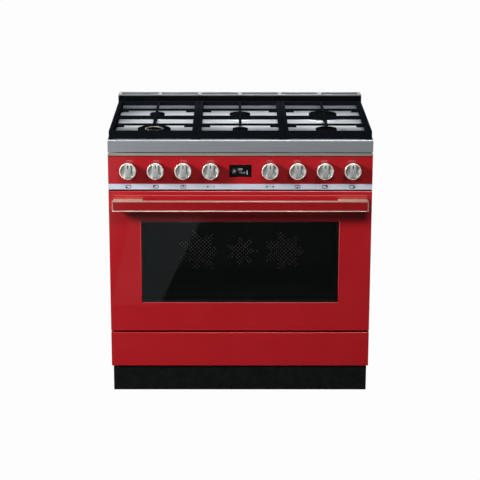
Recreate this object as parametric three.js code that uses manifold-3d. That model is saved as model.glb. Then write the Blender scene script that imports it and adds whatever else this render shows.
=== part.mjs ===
// A 90 cm dual-fuel range cooker: six gas burners over one wide fan oven, with a storage drawer below.
// Millimetres. X runs to the right, Y to the back and Z up. The origin is on the floor, under the
// middle of the overall box, and the front faces -Y.
import * as THREE from 'three';
import { mergeVertices } from 'three/addons/utils/BufferGeometryUtils.js';
import Module from 'manifold-3d';

const wasm = await Module();
wasm.setup();

// Overall sizes: the heights add up from the floor to the worktop
const bodyWidth = 895;
const bodyDepth = 600;
const plinthLift = 3;
const plinthHeight = 88;
const drawerGap = 3;
const drawerFrontHeight = 122;
const doorLowerGap = 6;
const doorHeight = 501;
const doorUpperGap = 5;
const stripHeight = 19;
const panelHeight = 97;
const trimHeight = 10;
const grooveHeight = 3;
const fasciaHeight = 43;
const upstandHeight = 50;
const upstandDepth = 50;
const doorDepth = 46;
const sealSpace = 4;

// Sheets and clearances shared by many pieces
const sheet = 1.5;
const frameSheet = 2;
const touchGap = 0.3;
const runGap = 1;
const turnGap = 0.1;
const overrun = 6;

// Smoothness of round pieces
const wireSides = 6;
const roundSides = 18;
const boreSides = 8;
const bendSteps = 3;

// Plinth and feet
const plinthInset = 6;
const plinthRearInset = 10;
const plinthFlange = 20;
const footPadRadius = 16;
const footPadHeight = 12;
const footStemRadius = 7;
const footInset = 70;

// Carcass
const panelFlange = 15;
const drawerMouthRim = 7.5;
const drawerMouthStep = 2;
const ventSlotCount = 9;
const ventSlotPitch = 40;
const ventSlotWidth = 22;
const ventSlotHeight = 8;
const ventRowCount = 2;
const ventRowRise = 560;
const ventRowPitch = 40;

// Oven cavity, insulation and fan compartment
const cavityMargin = 85.5;
const cavityBottom = 275;
const cavityHeight = 365;
const cavityRearSpace = 130;
const fanSpace = 48.5;
const insulationThickness = 25;
const fanCoverInsetX = 17;
const fanCoverBottomInset = 10;
const fanCoverTopInset = 30;
const fanHeight = 120;
const fanPitch = 160;
const starRadii = [70, 50, 62.5];
const starHubRadius = 14;
const starPetalCount = 8;
const starPetalHalfWidth = 7;

// Convection fans and their motors
const fanRadii = [64, 46, 64];
const fanHubRadius = 12;
const fanShaftRadius = 4;
const fanDiscThickness = 2;
const fanBladeCount = 8;
const fanBladeThickness = 2;
const fanBladeDepth = 22;
const fanWallGap = 8;
const motorRadius = 30;
const motorLength = 44;
const motorBoreDepth = 12;

// Grill element
const elementRadius = 3.3;
const grillDrop = 18;
const grillInset = 60;
const grillRunCount = 6;

// Side racks, shelf and tray
const rackUprightRadius = 3;
const rackWireRadius = 2.5;
const rackUprightInset = 6;
const rackRailInset = 10.5;
const rackFront = 80;
const rackRearGap = 21.5;
const rackLevelCount = 5;
const rackFirstLevel = 50;
const rackLevelPitch = 66;
const rackFoot = 10;
const shelfFront = 68;
const shelfWireCount = 9;
const trayDepth = 38;
const trayWall = 1.5;
const trayRim = 12;
const lampRadius = 24;
const lampReach = 5;
const lampDepth = 240;
const lampLevelShare = 0.59;

// Oven door
const doorSheet = 1.5;
const doorShell = 34;
const doorEdgeRound = 2;
const windowMargin = 110;
const windowBottom = 104;
const windowTopMargin = 107;
const glassThickness = 4;
const glassLap = 5.5;
const ringLap = 2.5;
const ringOuterInset = 17.5;
const ringBottomInset = 31.5;
const ringTopInset = 12.5;
const sealInset = 4;
const sealWidth = 10;

// Door hinges
const hingeAxisDepth = 15;
const hingeAxisHeight = 15;
const hingeInset = 47.5;
const hingeArmWidth = 10;
const hingeArmHeight = 16;
const hingeArmReach = 60;
const hingeBossRadius = 9;
const hingePinRadius = 4;
const hingeCheekWidth = 7;
const hingeFlangeWidth = 20;
const hingeFlangeHeight = 37;
const hingeFlangeThickness = 5;

// Door handle
const handleReach = 44;
const handleInset = 14;
const handleHeight = 36;
const handleThickness = 12;
const handleDrop = 26;
const bracketWidth = 102;
const bracketInset = 2;

// Storage drawer
const drawerBoxMargin = 27.5;
const drawerBoxLength = 484;
const drawerBoxBottom = 7;
const drawerBoxTopGap = 11;
const runnerWidth = 17;
const runnerThickness = 6;
const runnerRise = 45;
const railLip = 2;
const railPostLength = 40;

// Control panel, display and knobs
const knobOuterInset = 68;
const knobFirst = 100.5;
const knobRise = 49;
const knobRadius = 28.5;
const knobGap = 5;
const knobDisc = 21.5;
const knobEdge = 1.6;
const knobRim = 2.4;
const knobRecess = 5;
const knobGripWidth = 21.5;
const knobGripHeight = 2.5;
const knobGripLengthShare = 0.86;
const spindleRadius = 3;
const spindleFlat = 1;
const spindleGap = 0.4;
const spindleInKnob = 8;
const spindleInTap = 12;
const panelHoleRadius = 6;
const displayWidth = 75;
const displayHeight = 42;
const displayDrop = 3.5;
const stripThickness = 1.5;
const trimThickness = 3;

// Gas rail, taps and oven controls
const tapWidth = 26;
const tapHeight = 30;
const tapFront = 18;
const tapLength = 40;
const railRadius = 9;
const railOverhang = 24;
const pipeRadius = 7;
const inletRadius = 12;
const inletLength = 22;
const railPostWidth = 12;
const switchWidth = 40;
const clockWidth = 96;
const clockHeight = 52;
const clockDepth = 20;

// Hob
const hobRim = 2;
const hobFrontRim = 7;
const hobEdgeRound = 5;
const basinDepth = 4;
const rearFlange = 14;
const flueWidth = 420;
const flueDepth = 30;

// Upstand vent
const ventThickness = 6;
const ventChamfer = 4;
const ventSlots = 6;
const ventPostWidth = 13;
const ventFrontLip = 6;
const ventRearLip = 10;

// Burners: place across, depth behind the front, and cap radius
const supportSideGap = 3.5;
const frontBurnerDepth = 136;
const rearBurnerSpace = 155;
const wokRadius = 57;
const wokInnerRadius = 22;
const wokGap = 10;
const largeRadius = 50;
const mediumRadius = 37;
const smallRadius = 27;
const burnerSides = 16;
const crownCup = 14;
const crownNeck = 9;
const crownFlange = 3;
const crownHeight = 9;
const crownInset = 3;
const capThickness = 6;
const capEdge = 2;
const pinRadius = 2;
const pinHeight = 8;

// Pan supports
const supportTop = 27;
const supportJoint = 1;
const barWidth = 14.5;
const supportFront = 10;
const frontBarHeight = 27;
const sideBarHeight = 26;
const crossBarWidth = 10;
const crossBarHeight = 6;
const rootHeight = 12;
const rootLength = 30;
const middleBarGap = 20;
const middleBarDepth = 235;
const rearBarSpace = 30;
const rearBarHeight = 13;
const ribWidth = 9;
const ribOverhang = 16;
const ribDeepHeight = 15;
const ribTaper = 42;
const supportFootLength = 26;

// Electrical terminal
const terminalWidth = 80;
const terminalHeight = 70;
const terminalDepth = 36;
const terminalInset = 40;
const terminalRise = 655;
const cableInletRadius = 11;

// Which of the eight knobs work a gas tap and which an oven switch, and how many pan supports lie
// side by side
const gasKnobs = [0, 1, 2, 5, 6, 7];
const ovenKnobs = [3, 4];
const supportColumns = 3;

// Levels and planes that follow from the sizes above
const halfWidth = bodyWidth / 2;
const frontY = handleReach - (bodyDepth + handleReach) / 2;
const backY = frontY + bodyDepth;
const behind = (depth) => frontY + depth;
const cavityWidth = bodyWidth - 2 * cavityMargin;
const windowWidth = bodyWidth - 2 * windowMargin;
const windowHeight = doorHeight - windowBottom - windowTopMargin;
const hingeX = halfWidth - hingeInset;
const handleWidth = bodyWidth - 2 * handleInset;
const drawerBoxWidth = bodyWidth - 2 * drawerBoxMargin;
const drawerBoxHeight = drawerFrontHeight - drawerBoxBottom - drawerBoxTopGap;
const knobSteps = gasKnobs.length / 2;
const knobPitch = (halfWidth - knobOuterInset - knobFirst) / knobSteps;
const burnerPitch = (bodyWidth - 2 * supportSideGap) / supportColumns;
const plinthTop = plinthLift + plinthHeight;
const drawerBottom = plinthTop + drawerGap;
const drawerTop = drawerBottom + drawerFrontHeight;
const doorBottom = drawerTop + doorLowerGap;
const doorTop = doorBottom + doorHeight;
const stripBottom = doorTop + doorUpperGap;
const panelBottom = stripBottom + stripHeight;
const panelTop = panelBottom + panelHeight;
const trimTop = panelTop + trimHeight;
const fasciaBottom = trimTop + grooveHeight;
const worktop = fasciaBottom + fasciaHeight;
const frameFront = doorDepth + sealSpace;
const frameRear = frameFront + frameSheet;
const hobFloor = worktop - basinDepth;
const cavityTop = cavityBottom + cavityHeight;
const cavityBack = bodyDepth - cavityRearSpace;
const fanCoverDepth = cavityBack - fanSpace;
const rackRear = fanCoverDepth - rackRearGap;
const insulationBack = cavityBack + sheet + touchGap + insulationThickness;
const insulationTop = cavityTop + sheet + touchGap + insulationThickness;
const rearBurnerDepth = bodyDepth - upstandDepth - rearBurnerSpace;
const rearBarDepth = bodyDepth - upstandDepth - rearBarSpace;
const knobZ = panelBottom + knobRise;
const fanZ = cavityBottom + fanHeight;
const fanXs = [-fanPitch, 0, fanPitch];
const hingeY = behind(hingeAxisDepth);
const hingeZ = doorBottom + hingeAxisHeight;
// The bore that a faceted shaft turns in, clear by turnGap in every position
const boreRadius = (shaftRadius) => shaftRadius / Math.cos(Math.PI / boreSides) + turnGap;
const knobXs = [-3, -2, -1, 0, 0, 1, 2, 3].map((step, index) => step * knobPitch
  + (index < 4 ? -knobFirst : knobFirst));

// Shape helpers: every piece is a manifold solid until it becomes a mesh
function toSolid(geometry) {
  const bare = geometry.clone();
  bare.deleteAttribute('normal');
  bare.deleteAttribute('uv');
  const merged = mergeVertices(bare);
  const points = merged.attributes.position;
  const corners = [];
  let volume = 0;
  const [a, b, c] = [new THREE.Vector3(), new THREE.Vector3(), new THREE.Vector3()];
  for (let i = 0; i < merged.index.count; i += 3) {
    const [p, q, r] = [merged.index.getX(i), merged.index.getX(i + 1), merged.index.getX(i + 2)];
    if (p === q || q === r || r === p) continue;
    corners.push(p, q, r);
    a.fromBufferAttribute(points, p);
    b.fromBufferAttribute(points, q);
    c.fromBufferAttribute(points, r);
    volume += a.dot(b.cross(c));
  }
  if (volume < 0) corners.reverse();
  return new wasm.Manifold(new wasm.Mesh({
    numProp: 3,
    vertProperties: new Float32Array(points.array),
    triVerts: Uint32Array.from(corners),
  }));
}

function unite(solids) {
  return solids.reduce((whole, next) => whole.add(next));
}

function cut(solid, tools) {
  return tools.reduce((rest, tool) => rest.subtract(tool), solid);
}

function block([x0, x1], [y0, y1], [z0, z1]) {
  const box = new THREE.BoxGeometry(x1 - x0, y1 - y0, z1 - z0);
  box.translate((x0 + x1) / 2, (y0 + y1) / 2, (z0 + z1) / 2);
  return toSolid(box);
}

// The ranges [low, high] of a size centred on a place, and both signs of one
const around = (centre, size) => [centre - size / 2, centre + size / 2];
const mirrored = ([low, high], side) => (side > 0 ? [low, high] : [-high, -low]);

// An outline pushed along one axis: its points are (y, z) along x, (x, z) along y, (x, y) along z
const prismBases = {
  x: [new THREE.Vector3(0, 1, 0), new THREE.Vector3(0, 0, 1), new THREE.Vector3(1, 0, 0)],
  y: [new THREE.Vector3(1, 0, 0), new THREE.Vector3(0, 0, 1), new THREE.Vector3(0, 1, 0)],
  z: [new THREE.Vector3(1, 0, 0), new THREE.Vector3(0, 1, 0), new THREE.Vector3(0, 0, 1)],
};

function prism(axis, points, [from, to]) {
  const outline = new THREE.Shape(points.map(([u, v]) => new THREE.Vector2(u, v)));
  const body = new THREE.ExtrudeGeometry(outline, { depth: to - from, bevelEnabled: false });
  body.translate(0, 0, from);
  body.applyMatrix4(new THREE.Matrix4().makeBasis(...prismBases[axis]));
  return toSolid(body);
}

// A straight round rod between two points
function rod(start, end, radius, sides = wireSides) {
  const [from, to] = [new THREE.Vector3(...start), new THREE.Vector3(...end)];
  const run = to.clone().sub(from);
  const bar = new THREE.CylinderGeometry(radius, radius, run.length(), sides);
  const turn = new THREE.Quaternion().setFromUnitVectors(new THREE.Vector3(0, 1, 0), run.clone().normalize());
  bar.applyQuaternion(turn);
  bar.translate(...from.add(to).divideScalar(2).toArray());
  return toSolid(bar);
}

// A bent wire: rods through a list of points, each run on by the wire's radius at its ends
function wire(points, radius) {
  const runs = points.slice(1).map((point, index) => {
    const [from, to] = [new THREE.Vector3(...points[index]), new THREE.Vector3(...point)];
    const step = to.clone().sub(from).normalize().multiplyScalar(radius);
    const start = index > 0 ? from.clone().sub(step) : from;
    const end = index < points.length - 2 ? to.clone().add(step) : to;
    return rod(start.toArray(), end.toArray(), radius);
  });
  return unite(runs);
}

// A turned piece: its profile is (radius, height), round the Z axis at x, y
function turned(profile, x, y, sides = roundSides) {
  const body = new THREE.LatheGeometry(profile.map(([r, z]) => new THREE.Vector2(r, z)), sides);
  body.rotateX(Math.PI / 2);
  body.translate(x, y, 0);
  return toSolid(body);
}

const disc = (radius, [z0, z1], x, y, sides = roundSides) => (
  turned([[0, z0], [radius, z0], [radius, z1], [0, z1]], x, y, sides));

// Turned round a Y axis: its profile is (radius, y)
function turnedAlongY(profile, x, z, sides = roundSides) {
  const body = new THREE.LatheGeometry(profile.map(([r, y]) => new THREE.Vector2(r, y)), sides);
  body.translate(x, 0, z);
  return toSolid(body);
}

const boss = (radius, [y0, y1], x, z, sides = roundSides) => (
  turnedAlongY([[0, y0], [radius, y0], [radius, y1], [0, y1]], x, z, sides));

const cooker = new THREE.Group();

function place(name, solid, colour, roughness, metalness) {
  const { vertProperties, triVerts } = solid.getMesh();
  const geometry = new THREE.BufferGeometry();
  geometry.setAttribute('position', new THREE.BufferAttribute(vertProperties, 3));
  geometry.setIndex(new THREE.BufferAttribute(triVerts, 1));
  geometry.computeVertexNormals();
  const material = new THREE.MeshStandardMaterial({ color: colour, roughness, metalness });
  const mesh = new THREE.Mesh(geometry, material);
  mesh.name = name;
  cooker.add(mesh);
}

const red = 0xa01c24;
const blackEnamel = 0x111315;
const castIron = 0x24272b;
const stainless = 0xb4b8bb;
const galvanised = 0x8f9498;
const darkGlass = 0x0d0f10;
const aluminium = 0xa9adb0;
const wool = 0xcfc8a8;
const brass = 0xb08d4a;

// Plinth: a three-sided folded sheet, with a flange under the base
function plinth() {
  const outerX = halfWidth - plinthInset;
  const [front, rear] = [behind(plinthInset), backY - plinthRearInset];
  const shell = cut(
    block([-outerX, outerX], [front, rear], [plinthLift, plinthTop]),
    [
      block([sheet - outerX, outerX - sheet], [front + sheet, rear + overrun], [0, plinthTop - sheet]),
      block([sheet + plinthFlange - outerX, outerX - sheet - plinthFlange],
        [front + sheet + plinthFlange, rear + overrun], [0, plinthTop + overrun]),
    ],
  );
  place('plinth', shell, blackEnamel, 0.5, 0.2);
}

// Base: a welded sheet with four screw feet and two raised channels that carry the drawer
function baseFrame() {
  const innerX = halfWidth - sheet;
  const [front, rear] = [behind(frameRear), backY - sheet];
  const stands = [-1, 1].flatMap((side) => [behind(footInset), backY - footInset].map((y) => turned([
    [0, 0], [footPadRadius, 0], [footPadRadius, footPadHeight], [footStemRadius, footPadHeight],
    [footStemRadius, plinthTop + sheet], [0, plinthTop + sheet],
  ], side * (halfWidth - footInset), y, boreSides)));
  const channelX = drawerBoxWidth / 2 + runnerWidth + runGap;
  const channelFront = behind(frameRear) + overrun;
  const channelRear = behind(doorDepth + drawerBoxLength) + runGap;
  const runnerZ = drawerBottom + runnerRise;
  const inside = [runnerZ - touchGap, runnerZ + runnerThickness + runGap];
  const rails = [-1, 1].flatMap((side) => [
    cut(
      block(mirrored([drawerBoxWidth / 2 + runGap, innerX], side), [channelFront, channelRear],
        [inside[0] - railLip, inside[1] + railLip]),
      [block(mirrored([drawerBoxWidth / 2 - overrun, channelX], side),
        [channelFront - overrun, channelRear + overrun], inside)],
    ),
    ...[channelFront, channelRear - railPostLength].map((y) => block(mirrored([channelX, innerX], side),
      [y, y + railPostLength], [plinthTop, inside[0]])),
  ]);
  const floor = block([-innerX, innerX], [front, rear], [plinthTop, plinthTop + sheet]);
  place('base_frame', unite([floor, ...stands, ...rails]), galvanised, 0.5, 0.8);
}

// Carcass: two side panels, and a back panel with the electrical terminal box and its cable inlet
function sidePanels() {
  const innerX = halfWidth - sheet;
  const [front, rear] = [behind(frameRear), backY - sheet];
  const names = { '-1': 'side_panel_left', 1: 'side_panel_right' };
  [-1, 1].forEach((side) => {
    const panel = unite([
      block(mirrored([innerX, halfWidth], side), [front, rear], [plinthTop, fasciaBottom]),
      block(mirrored([innerX - panelFlange, innerX + sheet / 2], side), [front, front + sheet],
        [stripBottom, fasciaBottom]),
      block(mirrored([innerX - panelFlange, innerX + sheet / 2], side), [front, rear],
        [fasciaBottom - sheet, fasciaBottom]),
    ]);
    place(names[side], panel, 0x2a2c2e, 0.45, 0.4);
  });
}

function backPanel() {
  const [rear, through] = [backY - sheet, [backY - sheet - overrun, backY + overrun]];
  const slots = Array.from({ length: ventRowCount * ventSlotCount }, (_, index) => {
    const [row, column] = [Math.floor(index / ventSlotCount), index % ventSlotCount];
    const x = (column - (ventSlotCount - 1) / 2) * ventSlotPitch;
    const z = doorBottom + ventRowRise + row * ventRowPitch;
    return block(around(x, ventSlotWidth), through, around(z, ventSlotHeight));
  });
  const [boxX, boxZ] = [terminalInset + terminalWidth / 2 - halfWidth, plinthTop + terminalRise];
  const terminal = block(around(boxX, terminalWidth), [rear - terminalDepth, backY - sheet / 2],
    around(boxZ, terminalHeight));
  const gasHole = boss(inletRadius + runGap, through, gasInletX(), knobZ, boreSides);
  const cableHole = boss(cableInletRadius, [rear - terminalDepth / 2, backY + overrun],
    boxX, boxZ, boreSides);
  const panel = block([-halfWidth, halfWidth], [rear, backY], [plinthTop, fasciaBottom]);
  place('back_panel', cut(unite([panel, terminal]), [...slots, gasHole, cableHole]), galvanised, 0.5, 0.8);
}

// Oven: an enamelled box welded to the front frame, which also has the drawer's mouth; a lamp dome
// sits in its right wall, and insulation is wrapped round it
function shaftHoles() {
  return fanXs.map((x) => boss(fanShaftRadius + runGap, [behind(cavityBack) - overrun,
    behind(insulationBack) + overrun], x, fanZ, boreSides));
}

function oven() {
  const half = cavityWidth / 2;
  const [front, rear] = [behind(frameFront), behind(frameRear)];
  const through = [front - overrun, rear + overrun];
  const mouths = [
    block([drawerMouthRim - halfWidth, halfWidth - drawerMouthRim], through,
      [drawerBottom + drawerMouthStep, drawerTop - drawerMouthStep]),
    ...[-1, 1].map((side) => block(around(side * hingeX, hingeArmWidth + 2 * runGap), through,
      around(hingeZ, hingeArmHeight + 2 * runGap))),
  ];
  const frame = block([-halfWidth, halfWidth], [front, rear], [plinthTop, stripBottom]);
  const shell = block([-half - sheet, half + sheet], [front, behind(cavityBack) + sheet],
    [cavityBottom - sheet, cavityTop + sheet]);
  const hollow = block([-half, half], [front - overrun, behind(cavityBack)], [cavityBottom, cavityTop]);
  const lampZ = cavityBottom + lampLevelShare * cavityHeight;
  const lamp = rod([half - lampReach, behind(lampDepth), lampZ], [half + sheet / 2, behind(lampDepth), lampZ],
    lampRadius, boreSides);
  place('oven_cavity', cut(unite([frame, shell]), [hollow, ...mouths, ...shaftHoles()]).add(lamp),
    0x1b1d1e, 0.25, 0.1);

  const hole = half + sheet + touchGap;
  const [holeBottom, holeTop] = [cavityBottom - sheet - touchGap, cavityTop + sheet + touchGap];
  const outer = hole + insulationThickness;
  const wrap = cut(
    block([-outer, outer], [rear + touchGap, behind(insulationBack)],
      [holeBottom - insulationThickness, insulationTop]),
    [
      block([-hole, hole], [rear - overrun, behind(insulationBack) - insulationThickness],
        [holeBottom, holeTop]),
      ...shaftHoles(),
    ],
  );
  place('oven_insulation', wrap, wool, 0.95, 0);
}

// Fan cover: a folded plate whose petals of air openings make a star in front of each fan
function fanCover() {
  const halfX = cavityWidth / 2 - fanCoverInsetX;
  const [bottom, top] = [cavityBottom + fanCoverBottomInset, cavityTop - fanCoverTopInset];
  const [front, rear] = [behind(fanCoverDepth), behind(cavityBack) - touchGap];
  const channel = cut(block([-halfX, halfX], [front, rear], [bottom, top]), [
    block([-halfX - overrun, halfX + overrun], [front + sheet, rear + overrun],
      [bottom + sheet, top - sheet]),
  ]);
  const petals = fanXs.flatMap((x, index) => Array.from({ length: starPetalCount }, (_, petal) => {
    const angle = (petal / starPetalCount) * 2 * Math.PI;
    const along = (r, w) => [x + r * Math.cos(angle) - w * Math.sin(angle),
      fanZ + r * Math.sin(angle) + w * Math.cos(angle)];
    const wide = (starHubRadius + starRadii[index]) / 2;
    return prism('y', [along(starHubRadius, 0), along(wide, -starPetalHalfWidth),
      along(starRadii[index], 0), along(wide, starPetalHalfWidth)], [front - overrun, front + overrun]);
  }));
  place('fan_cover', cut(channel, petals), 0x2b2d2f, 0.3, 0.3);
}

function convectionFans() {
  const names = ['fan_left', 'fan_centre', 'fan_right'];
  const discRear = behind(cavityBack) - fanWallGap;
  fanXs.forEach((x, index) => {
    const radius = fanRadii[index];
    const blade = [discRear - fanDiscThickness - fanBladeDepth, discRear - fanDiscThickness / 2];
    const blades = Array.from({ length: fanBladeCount }, (_, number) => {
      const angle = (number / fanBladeCount) * 2 * Math.PI;
      const along = (r, w) => [x + r * Math.cos(angle) - w * Math.sin(angle),
        fanZ + r * Math.sin(angle) + w * Math.cos(angle)];
      const half = fanBladeThickness / 2;
      return prism('y', [along(radius / 2, -half), along(radius - half, -half),
        along(radius - half, half), along(radius / 2, half)], blade);
    });
    const wheel = unite([
      boss(radius, [discRear - fanDiscThickness, discRear], x, fanZ),
      boss(fanHubRadius, [blade[0], discRear], x, fanZ, boreSides),
      boss(fanShaftRadius, [discRear - fanDiscThickness, behind(insulationBack) + motorBoreDepth - runGap],
        x, fanZ, boreSides),
      ...blades,
    ]);
    place(names[index], wheel, 0x9a9da0, 0.35, 0.9);
  });
}

// Three fan motors on one bracket behind the insulation
function fanMotors() {
  const front = behind(insulationBack) + touchGap;
  const plate = block([-fanPitch - motorRadius, fanPitch + motorRadius], [front, front + frameSheet],
    around(fanZ, 2 * motorRadius));
  const motors = fanXs.map((x) => boss(motorRadius, [front, front + motorLength], x, fanZ, boreSides));
  const bores = fanXs.map((x) => boss(boreRadius(fanShaftRadius), [front - overrun, front + motorBoreDepth],
    x, fanZ, boreSides));
  place('fan_motors', cut(unite([plate, ...motors]), bores), 0x6f7377, 0.5, 0.8);
}

// Grill element: one tube in a zigzag under the oven's ceiling, with both ends through its back wall
function grill() {
  const halfX = cavityWidth / 2 - grillInset;
  const [near, far, tail] = [behind(rackFront), behind(rackRear), behind(cavityBack) - touchGap];
  const z = cavityTop - grillDrop;
  const points = [[-halfX, tail, z]];
  for (let run = 0; run < grillRunCount; run += 1) {
    const x = -halfX + (run / (grillRunCount - 1)) * 2 * halfX;
    if (run > 0) points.push([x, run % 2 ? near : far, z]);
    points.push([x, run % 2 ? far : near, z]);
  }
  points[points.length - 1][1] = tail;
  place('grill_element', wire(points, elementRadius), 0x4a4644, 0.5, 0.7);
}

// Racks: a wire ladder on each side wall carries the shelf and the tray
function rackLevel(number) {
  return cavityBottom + rackFirstLevel + number * rackLevelPitch;
}

function racks() {
  const names = { '-1': 'side_rack_left', 1: 'side_rack_right' };
  [-1, 1].forEach((side) => {
    const uprightX = side * (cavityWidth / 2 - rackUprightInset);
    const railX = side * (cavityWidth / 2 - rackRailInset);
    const [low, high] = [cavityBottom + rackFoot, rackLevel(rackLevelCount - 1) + rackWireRadius];
    const uprights = [rackFront, rackRear].map((depth) => rod([uprightX, behind(depth), low],
      [uprightX, behind(depth), high], rackUprightRadius));
    const pegs = [rackFront, rackRear].flatMap((depth) => [low + rackFoot, high - rackFoot].map((z) => (
      rod([uprightX, behind(depth), z], [side * (cavityWidth / 2 - touchGap), behind(depth), z],
        rackWireRadius))));
    const rails = Array.from({ length: rackLevelCount }, (_, level) => rod(
      [railX, behind(rackFront) - rackUprightRadius, rackLevel(level)],
      [railX, behind(rackRear) + rackUprightRadius, rackLevel(level)], rackWireRadius));
    place(names[side], unite([...uprights, ...pegs, ...rails]), 0xc8cbcd, 0.15, 1);
  });
}

function shelfAndTray() {
  const railInner = cavityWidth / 2 - rackRailInset;
  const z = rackLevel(rackLevelCount - 1) + 2 * rackWireRadius + touchGap;
  const [front, rear] = [behind(shelfFront), behind(rackRear)];
  const halfX = railInner;
  const frame = [-1, 1].map((side) => rod([side * halfX, front, z], [side * halfX, rear, z], rackWireRadius));
  const ends = [front, rear].map((y) => rod([-halfX, y, z], [halfX, y, z], rackWireRadius));
  const wires = Array.from({ length: shelfWireCount }, (_, index) => {
    const x = ((index + 1) / (shelfWireCount + 1) - 0.5) * 2 * halfX;
    return rod([x, front, z], [x, rear, z], rackWireRadius / 2);
  });
  place('oven_shelf', unite([...frame, ...ends, ...wires]), 0xc8cbcd, 0.15, 1);

  const top = rackLevel(0) + rackWireRadius + touchGap + trayWall;
  const rimX = railInner - rackWireRadius / 4;
  const bodyX = rimX - trayRim;
  const tray = cut(
    unite([
      block([-rimX, rimX], [front, rear], [top - trayWall, top]),
      block([-bodyX, bodyX], [front + trayRim, rear - trayRim], [top - trayDepth, top]),
    ]),
    [block([trayWall - bodyX, bodyX - trayWall], [front + trayRim + trayWall, rear - trayRim - trayWall],
      [top - trayDepth + trayWall, top + overrun])],
  );
  place('oven_tray', tray, 0x1d1f21, 0.3, 0.1);
}

// Door: a folded outer panel, an outer and an inner pane, and the inner frame that holds them
function doorPanel() {
  const r = doorEdgeRound;
  const [front, rear] = [frontY, behind(doorShell)];
  const shell = prism('x', [
    [front + r, doorBottom], [rear, doorBottom], [rear, doorTop], [front + r, doorTop],
    [front, doorTop - r], [front, doorBottom + r]], [-halfWidth, halfWidth]);
  const hollow = block([doorSheet - halfWidth, halfWidth - doorSheet], [front + doorSheet, rear + overrun],
    [doorBottom + doorSheet, doorTop - doorSheet]);
  const windowHole = block(around(0, windowWidth), [front - overrun, front + overrun],
    [doorBottom + windowBottom, doorBottom + windowBottom + windowHeight]);
  const slots = [-1, 1].map((side) => block(around(side * hingeX, hingeArmWidth + 2 * runGap),
    [hingeY - hingeBossRadius - runGap, rear + overrun], [doorBottom - overrun, doorBottom + overrun]));
  place('door_outer_panel', cut(shell, [hollow, windowHole, ...slots]), red, 0.15, 0.1);
}

function doorRing() {
  const [front, rear] = [behind(doorSheet) + glassThickness + 2 * touchGap,
    behind(doorDepth) - glassThickness - touchGap];
  const outerX = halfWidth - ringOuterInset;
  const [bottom, top] = [doorBottom + ringBottomInset, doorTop - ringTopInset];
  const openX = windowWidth / 2 + ringLap;
  const open = [doorBottom + windowBottom - ringLap, doorBottom + windowBottom + windowHeight + ringLap];
  const ring = cut(block([-outerX, outerX], [front, rear], [bottom, top]),
    [block([-openX, openX], [front - overrun, rear + overrun], open)]);
  const cheekReach = hingeAxisHeight - doorSheet - touchGap;
  const cheeks = [-1, 1].flatMap((side) => [-1, 1].map((face) => {
    const offset = hingeArmWidth / 2 + 2 * runGap + hingeCheekWidth / 2;
    return block(around(side * hingeX + face * offset, hingeCheekWidth),
      [front, hingeY + hingeBossRadius], [hingeZ - cheekReach, bottom + overrun]);
  }));
  const bores = [-1, 1].map((side) => rod([side * hingeX - hingeFlangeWidth, hingeY, hingeZ],
    [side * hingeX + hingeFlangeWidth, hingeY, hingeZ], boreRadius(hingePinRadius), boreSides));
  place('door_inner_frame', cut(unite([ring, ...cheeks]), bores), 0x1f2123, 0.4, 0.3);

  const outerFront = behind(doorSheet) + touchGap;
  place('door_outer_glass', block(
    around(0, windowWidth + 2 * glassLap),
    [outerFront, outerFront + glassThickness],
    [doorBottom + windowBottom - glassLap, doorBottom + windowBottom + windowHeight + glassLap],
  ), darkGlass, 0.05, 0);
  place('door_inner_glass', block([-outerX, outerX], [behind(doorDepth) - glassThickness, behind(doorDepth)],
    [bottom, top]), darkGlass, 0.05, 0);
}

// Hinges: each arm hooks into the oven's front and carries the pin that the door turns on
function hinges() {
  const names = { '-1': 'hinge_arm_left', 1: 'hinge_arm_right' };
  [-1, 1].forEach((side) => {
    const x = side * hingeX;
    const arm = block(around(x, hingeArmWidth), [hingeY, behind(frameRear) + hingeArmReach],
      around(hingeZ, hingeArmHeight));
    const knuckle = rod([x - hingeArmWidth / 2, hingeY, hingeZ], [x + hingeArmWidth / 2, hingeY, hingeZ],
      hingeBossRadius, roundSides);
    const pinReach = hingeArmWidth / 2 + 2 * runGap + hingeCheekWidth;
    const pin = rod([x - pinReach, hingeY, hingeZ], [x + pinReach, hingeY, hingeZ],
      hingePinRadius, boreSides);
    const flange = block(around(x, hingeFlangeWidth), [behind(frameRear) + touchGap,
      behind(frameRear) + touchGap + hingeFlangeThickness], around(hingeZ, hingeFlangeHeight));
    place(names[side], unite([arm, knuckle, pin, flange]), galvanised, 0.4, 0.9);
  });
}

function doorSeal() {
  const innerX = cavityWidth / 2 + sealInset;
  const [low, high] = [cavityBottom - sealInset, cavityTop + sealInset];
  const [front, rear] = [behind(doorDepth) + touchGap, behind(frameFront) - touchGap];
  place('door_seal', cut(
    block([-innerX - sealWidth, innerX + sealWidth], [front, rear], [low - sealWidth, high + sealWidth]),
    [block([-innerX, innerX], [front - overrun, rear + overrun], [low, high])],
  ), 0x2b2b2b, 0.9, 0);
}

// Handle: a flat bar held away from the door by a wide bracket at each end
function handle() {
  const z = doorTop - handleDrop - handleHeight;
  const [front, rear] = [frontY - handleReach, frontY - handleReach + handleThickness];
  place('handle_bar', block(around(0, handleWidth), [front, rear], [z, z + handleHeight]), red, 0.2, 0.3);
  const names = { '-1': 'handle_bracket_left', 1: 'handle_bracket_right' };
  [-1, 1].forEach((side) => place(names[side], block(
    mirrored([handleWidth / 2 - bracketWidth, handleWidth / 2 - bracketInset], side),
    [rear + touchGap, frontY - touchGap],
    [z + bracketInset, z + handleHeight - bracketInset],
  ), stainless, 0.2, 1));
}

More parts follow.
